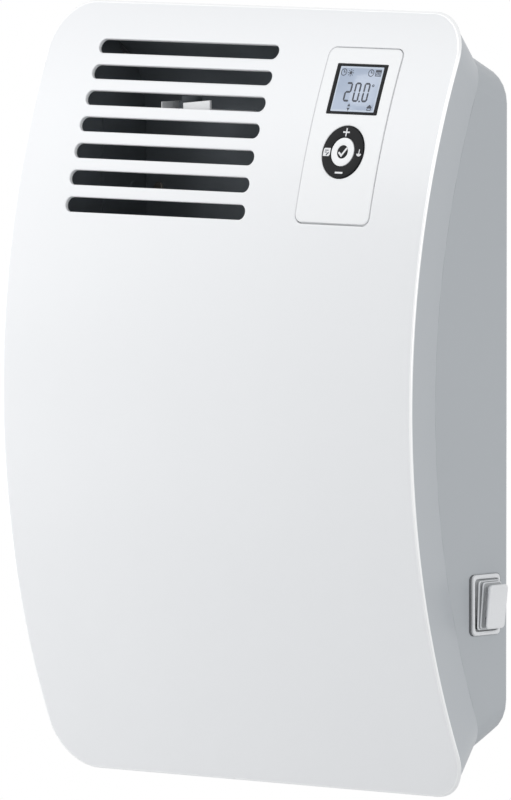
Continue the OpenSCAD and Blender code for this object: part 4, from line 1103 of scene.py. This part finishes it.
# A node's own shape with its edges rounded: doubles merged, flat faces joined, a bevel, and then normals
# weighted by area, so that flat faces stay flat beside round corners
def softenedCopy(nodeName, width, paint, size):
    mesh = nodes[nodeName].data.copy()
    build = bmesh.new()
    build.from_mesh(mesh)
    bmesh.ops.remove_doubles(build, verts=build.verts, dist=size["weld"] * mm)
    bmesh.ops.dissolve_limit(build, angle_limit=math.radians(size["flatAngle"]), verts=build.verts,
                             edges=build.edges)
    build.to_mesh(mesh)
    build.free()
    piece = addObject(nodeName + "_skin", mesh, size["sharp"])
    if width:
        bevel = piece.modifiers.new("edges", "BEVEL")
        bevel.width = width * mm
        bevel.segments = size["segments"]
        bevel.limit_method = "ANGLE"
        bevel.angle_limit = math.radians(size["sharp"])
        bevel.use_clamp_overlap = False
        bevel.miter_outer = "MITER_ARC"
    weigh = piece.modifiers.new("normals", "WEIGHTED_NORMAL")
    weigh.keep_sharp = True
    bake(piece)
    return dress(piece, nodes[nodeName]["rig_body"], slotOf[nodeName], nodeName, paints=paint)


for nodeName, width in softened.items():
    skin = softenedCopy(nodeName, width, otherPaint.get(nodeName), copySize)
    if nodeName == "thermal_cutout":  # sits on the lower shelf
        skin.data.transform(Matrix.Translation((0, 0, -holderSize["cutoutDrop"] * mm)))
for nodeName, node in nodes.items():  # those that show as they are have their slot's paint
    node.data.materials.clear()
    node.data.materials.append(paintBox[slotOf[nodeName]])
print("other pieces finished")

# Studio: a pale floor, a white surround and soft lamps, each at a turn and a rise round the heater

studio = {
    "floorZ": -0.5,
    "floorHalf": 1.2,
    "fill": 0.55,
    "fillColour": (0.96, 0.98, 1.0, 1),
    "surround": (1, 1, 1, 1),
    "lamps": {
        "left": {"turn": -35, "rise": 35, "away": 2.2, "size": 1.0, "power": 11.0},
        "near": {"turn": -55, "rise": 15, "away": 1.3, "size": 0.7, "power": 2.0},
        "right": {"turn": 85, "rise": 15, "away": 4.0, "size": 1.8, "power": 33},
        "low": {"turn": -65, "rise": -8, "away": 1.0, "size": 0.5, "power": 1.5},
    },
}


# The surround is white where the camera, a reflection or glass looks at it, and lights as a soft fill
def makeWorld(setup):
    world = bpy.data.worlds.new("studio")
    bpy.context.scene.world = world
    world.use_nodes = True
    tree = world.node_tree
    tree.nodes.clear()
    link = tree.links.new
    path = addNode(tree, "LightPath")
    seenAs = path.outputs["Is Camera Ray"]
    for ray in ("Is Glossy Ray", "Is Transmission Ray"):
        either = addNode(tree, "Math")
        either.operation = "MAXIMUM"
        link(seenAs, either.inputs[0])
        link(path.outputs[ray], either.inputs[1])
        seenAs = either.outputs[0]
    soft = addNode(tree, "Background", {"Color": setup["fillColour"], "Strength": setup["fill"]})
    seen = addNode(tree, "Background", {"Color": setup["surround"]})
    mix = addNode(tree, "MixShader")
    output = addNode(tree, "OutputWorld")
    link(seenAs, mix.inputs[0])
    link(soft.outputs[0], mix.inputs[1])
    link(seen.outputs[0], mix.inputs[2])
    link(mix.outputs[0], output.inputs[0])


# Level square of four faces
def makeFloor(setup):
    side = np.linspace(-setup["floorHalf"], setup["floorHalf"], 3)
    x, y = np.meshgrid(side, side)
    mesh = bpy.data.meshes.new("floor")
    points = np.stack([x, y, np.full_like(x, setup["floorZ"])], -1).reshape(-1, 3)
    mesh.from_pydata(points, [], gridFaces(3, 3, False).tolist())
    floor = addObject("floor", mesh, 30)
    floor.data.materials.append(finish("floor_paint", (0.86, 0.86, 0.86), 0.6, 300, 50, 0.01, 3))


# Round lamp a distance from the origin in the direction of its turn and rise, facing it
def addLamp(name, lamp):
    data = bpy.data.lights.new(name, "AREA")
    data.shape = "DISK"
    data.size = lamp["size"]
    data.energy = lamp["power"]
    light = bpy.data.objects.new(name, data)
    towards = direction(lamp["turn"], lamp["rise"])
    light.location = towards * lamp["away"]
    light.rotation_euler = towards.to_track_quat("Z", "Y").to_euler()
    light.visible_camera = False
    bpy.context.scene.collection.objects.link(light)


bpy.context.scene.view_settings.view_transform = "Standard"
makeWorld(studio)
makeFloor(studio)
for name, lamp in studio["lamps"].items():
    addLamp(name, lamp)
print("studio made")
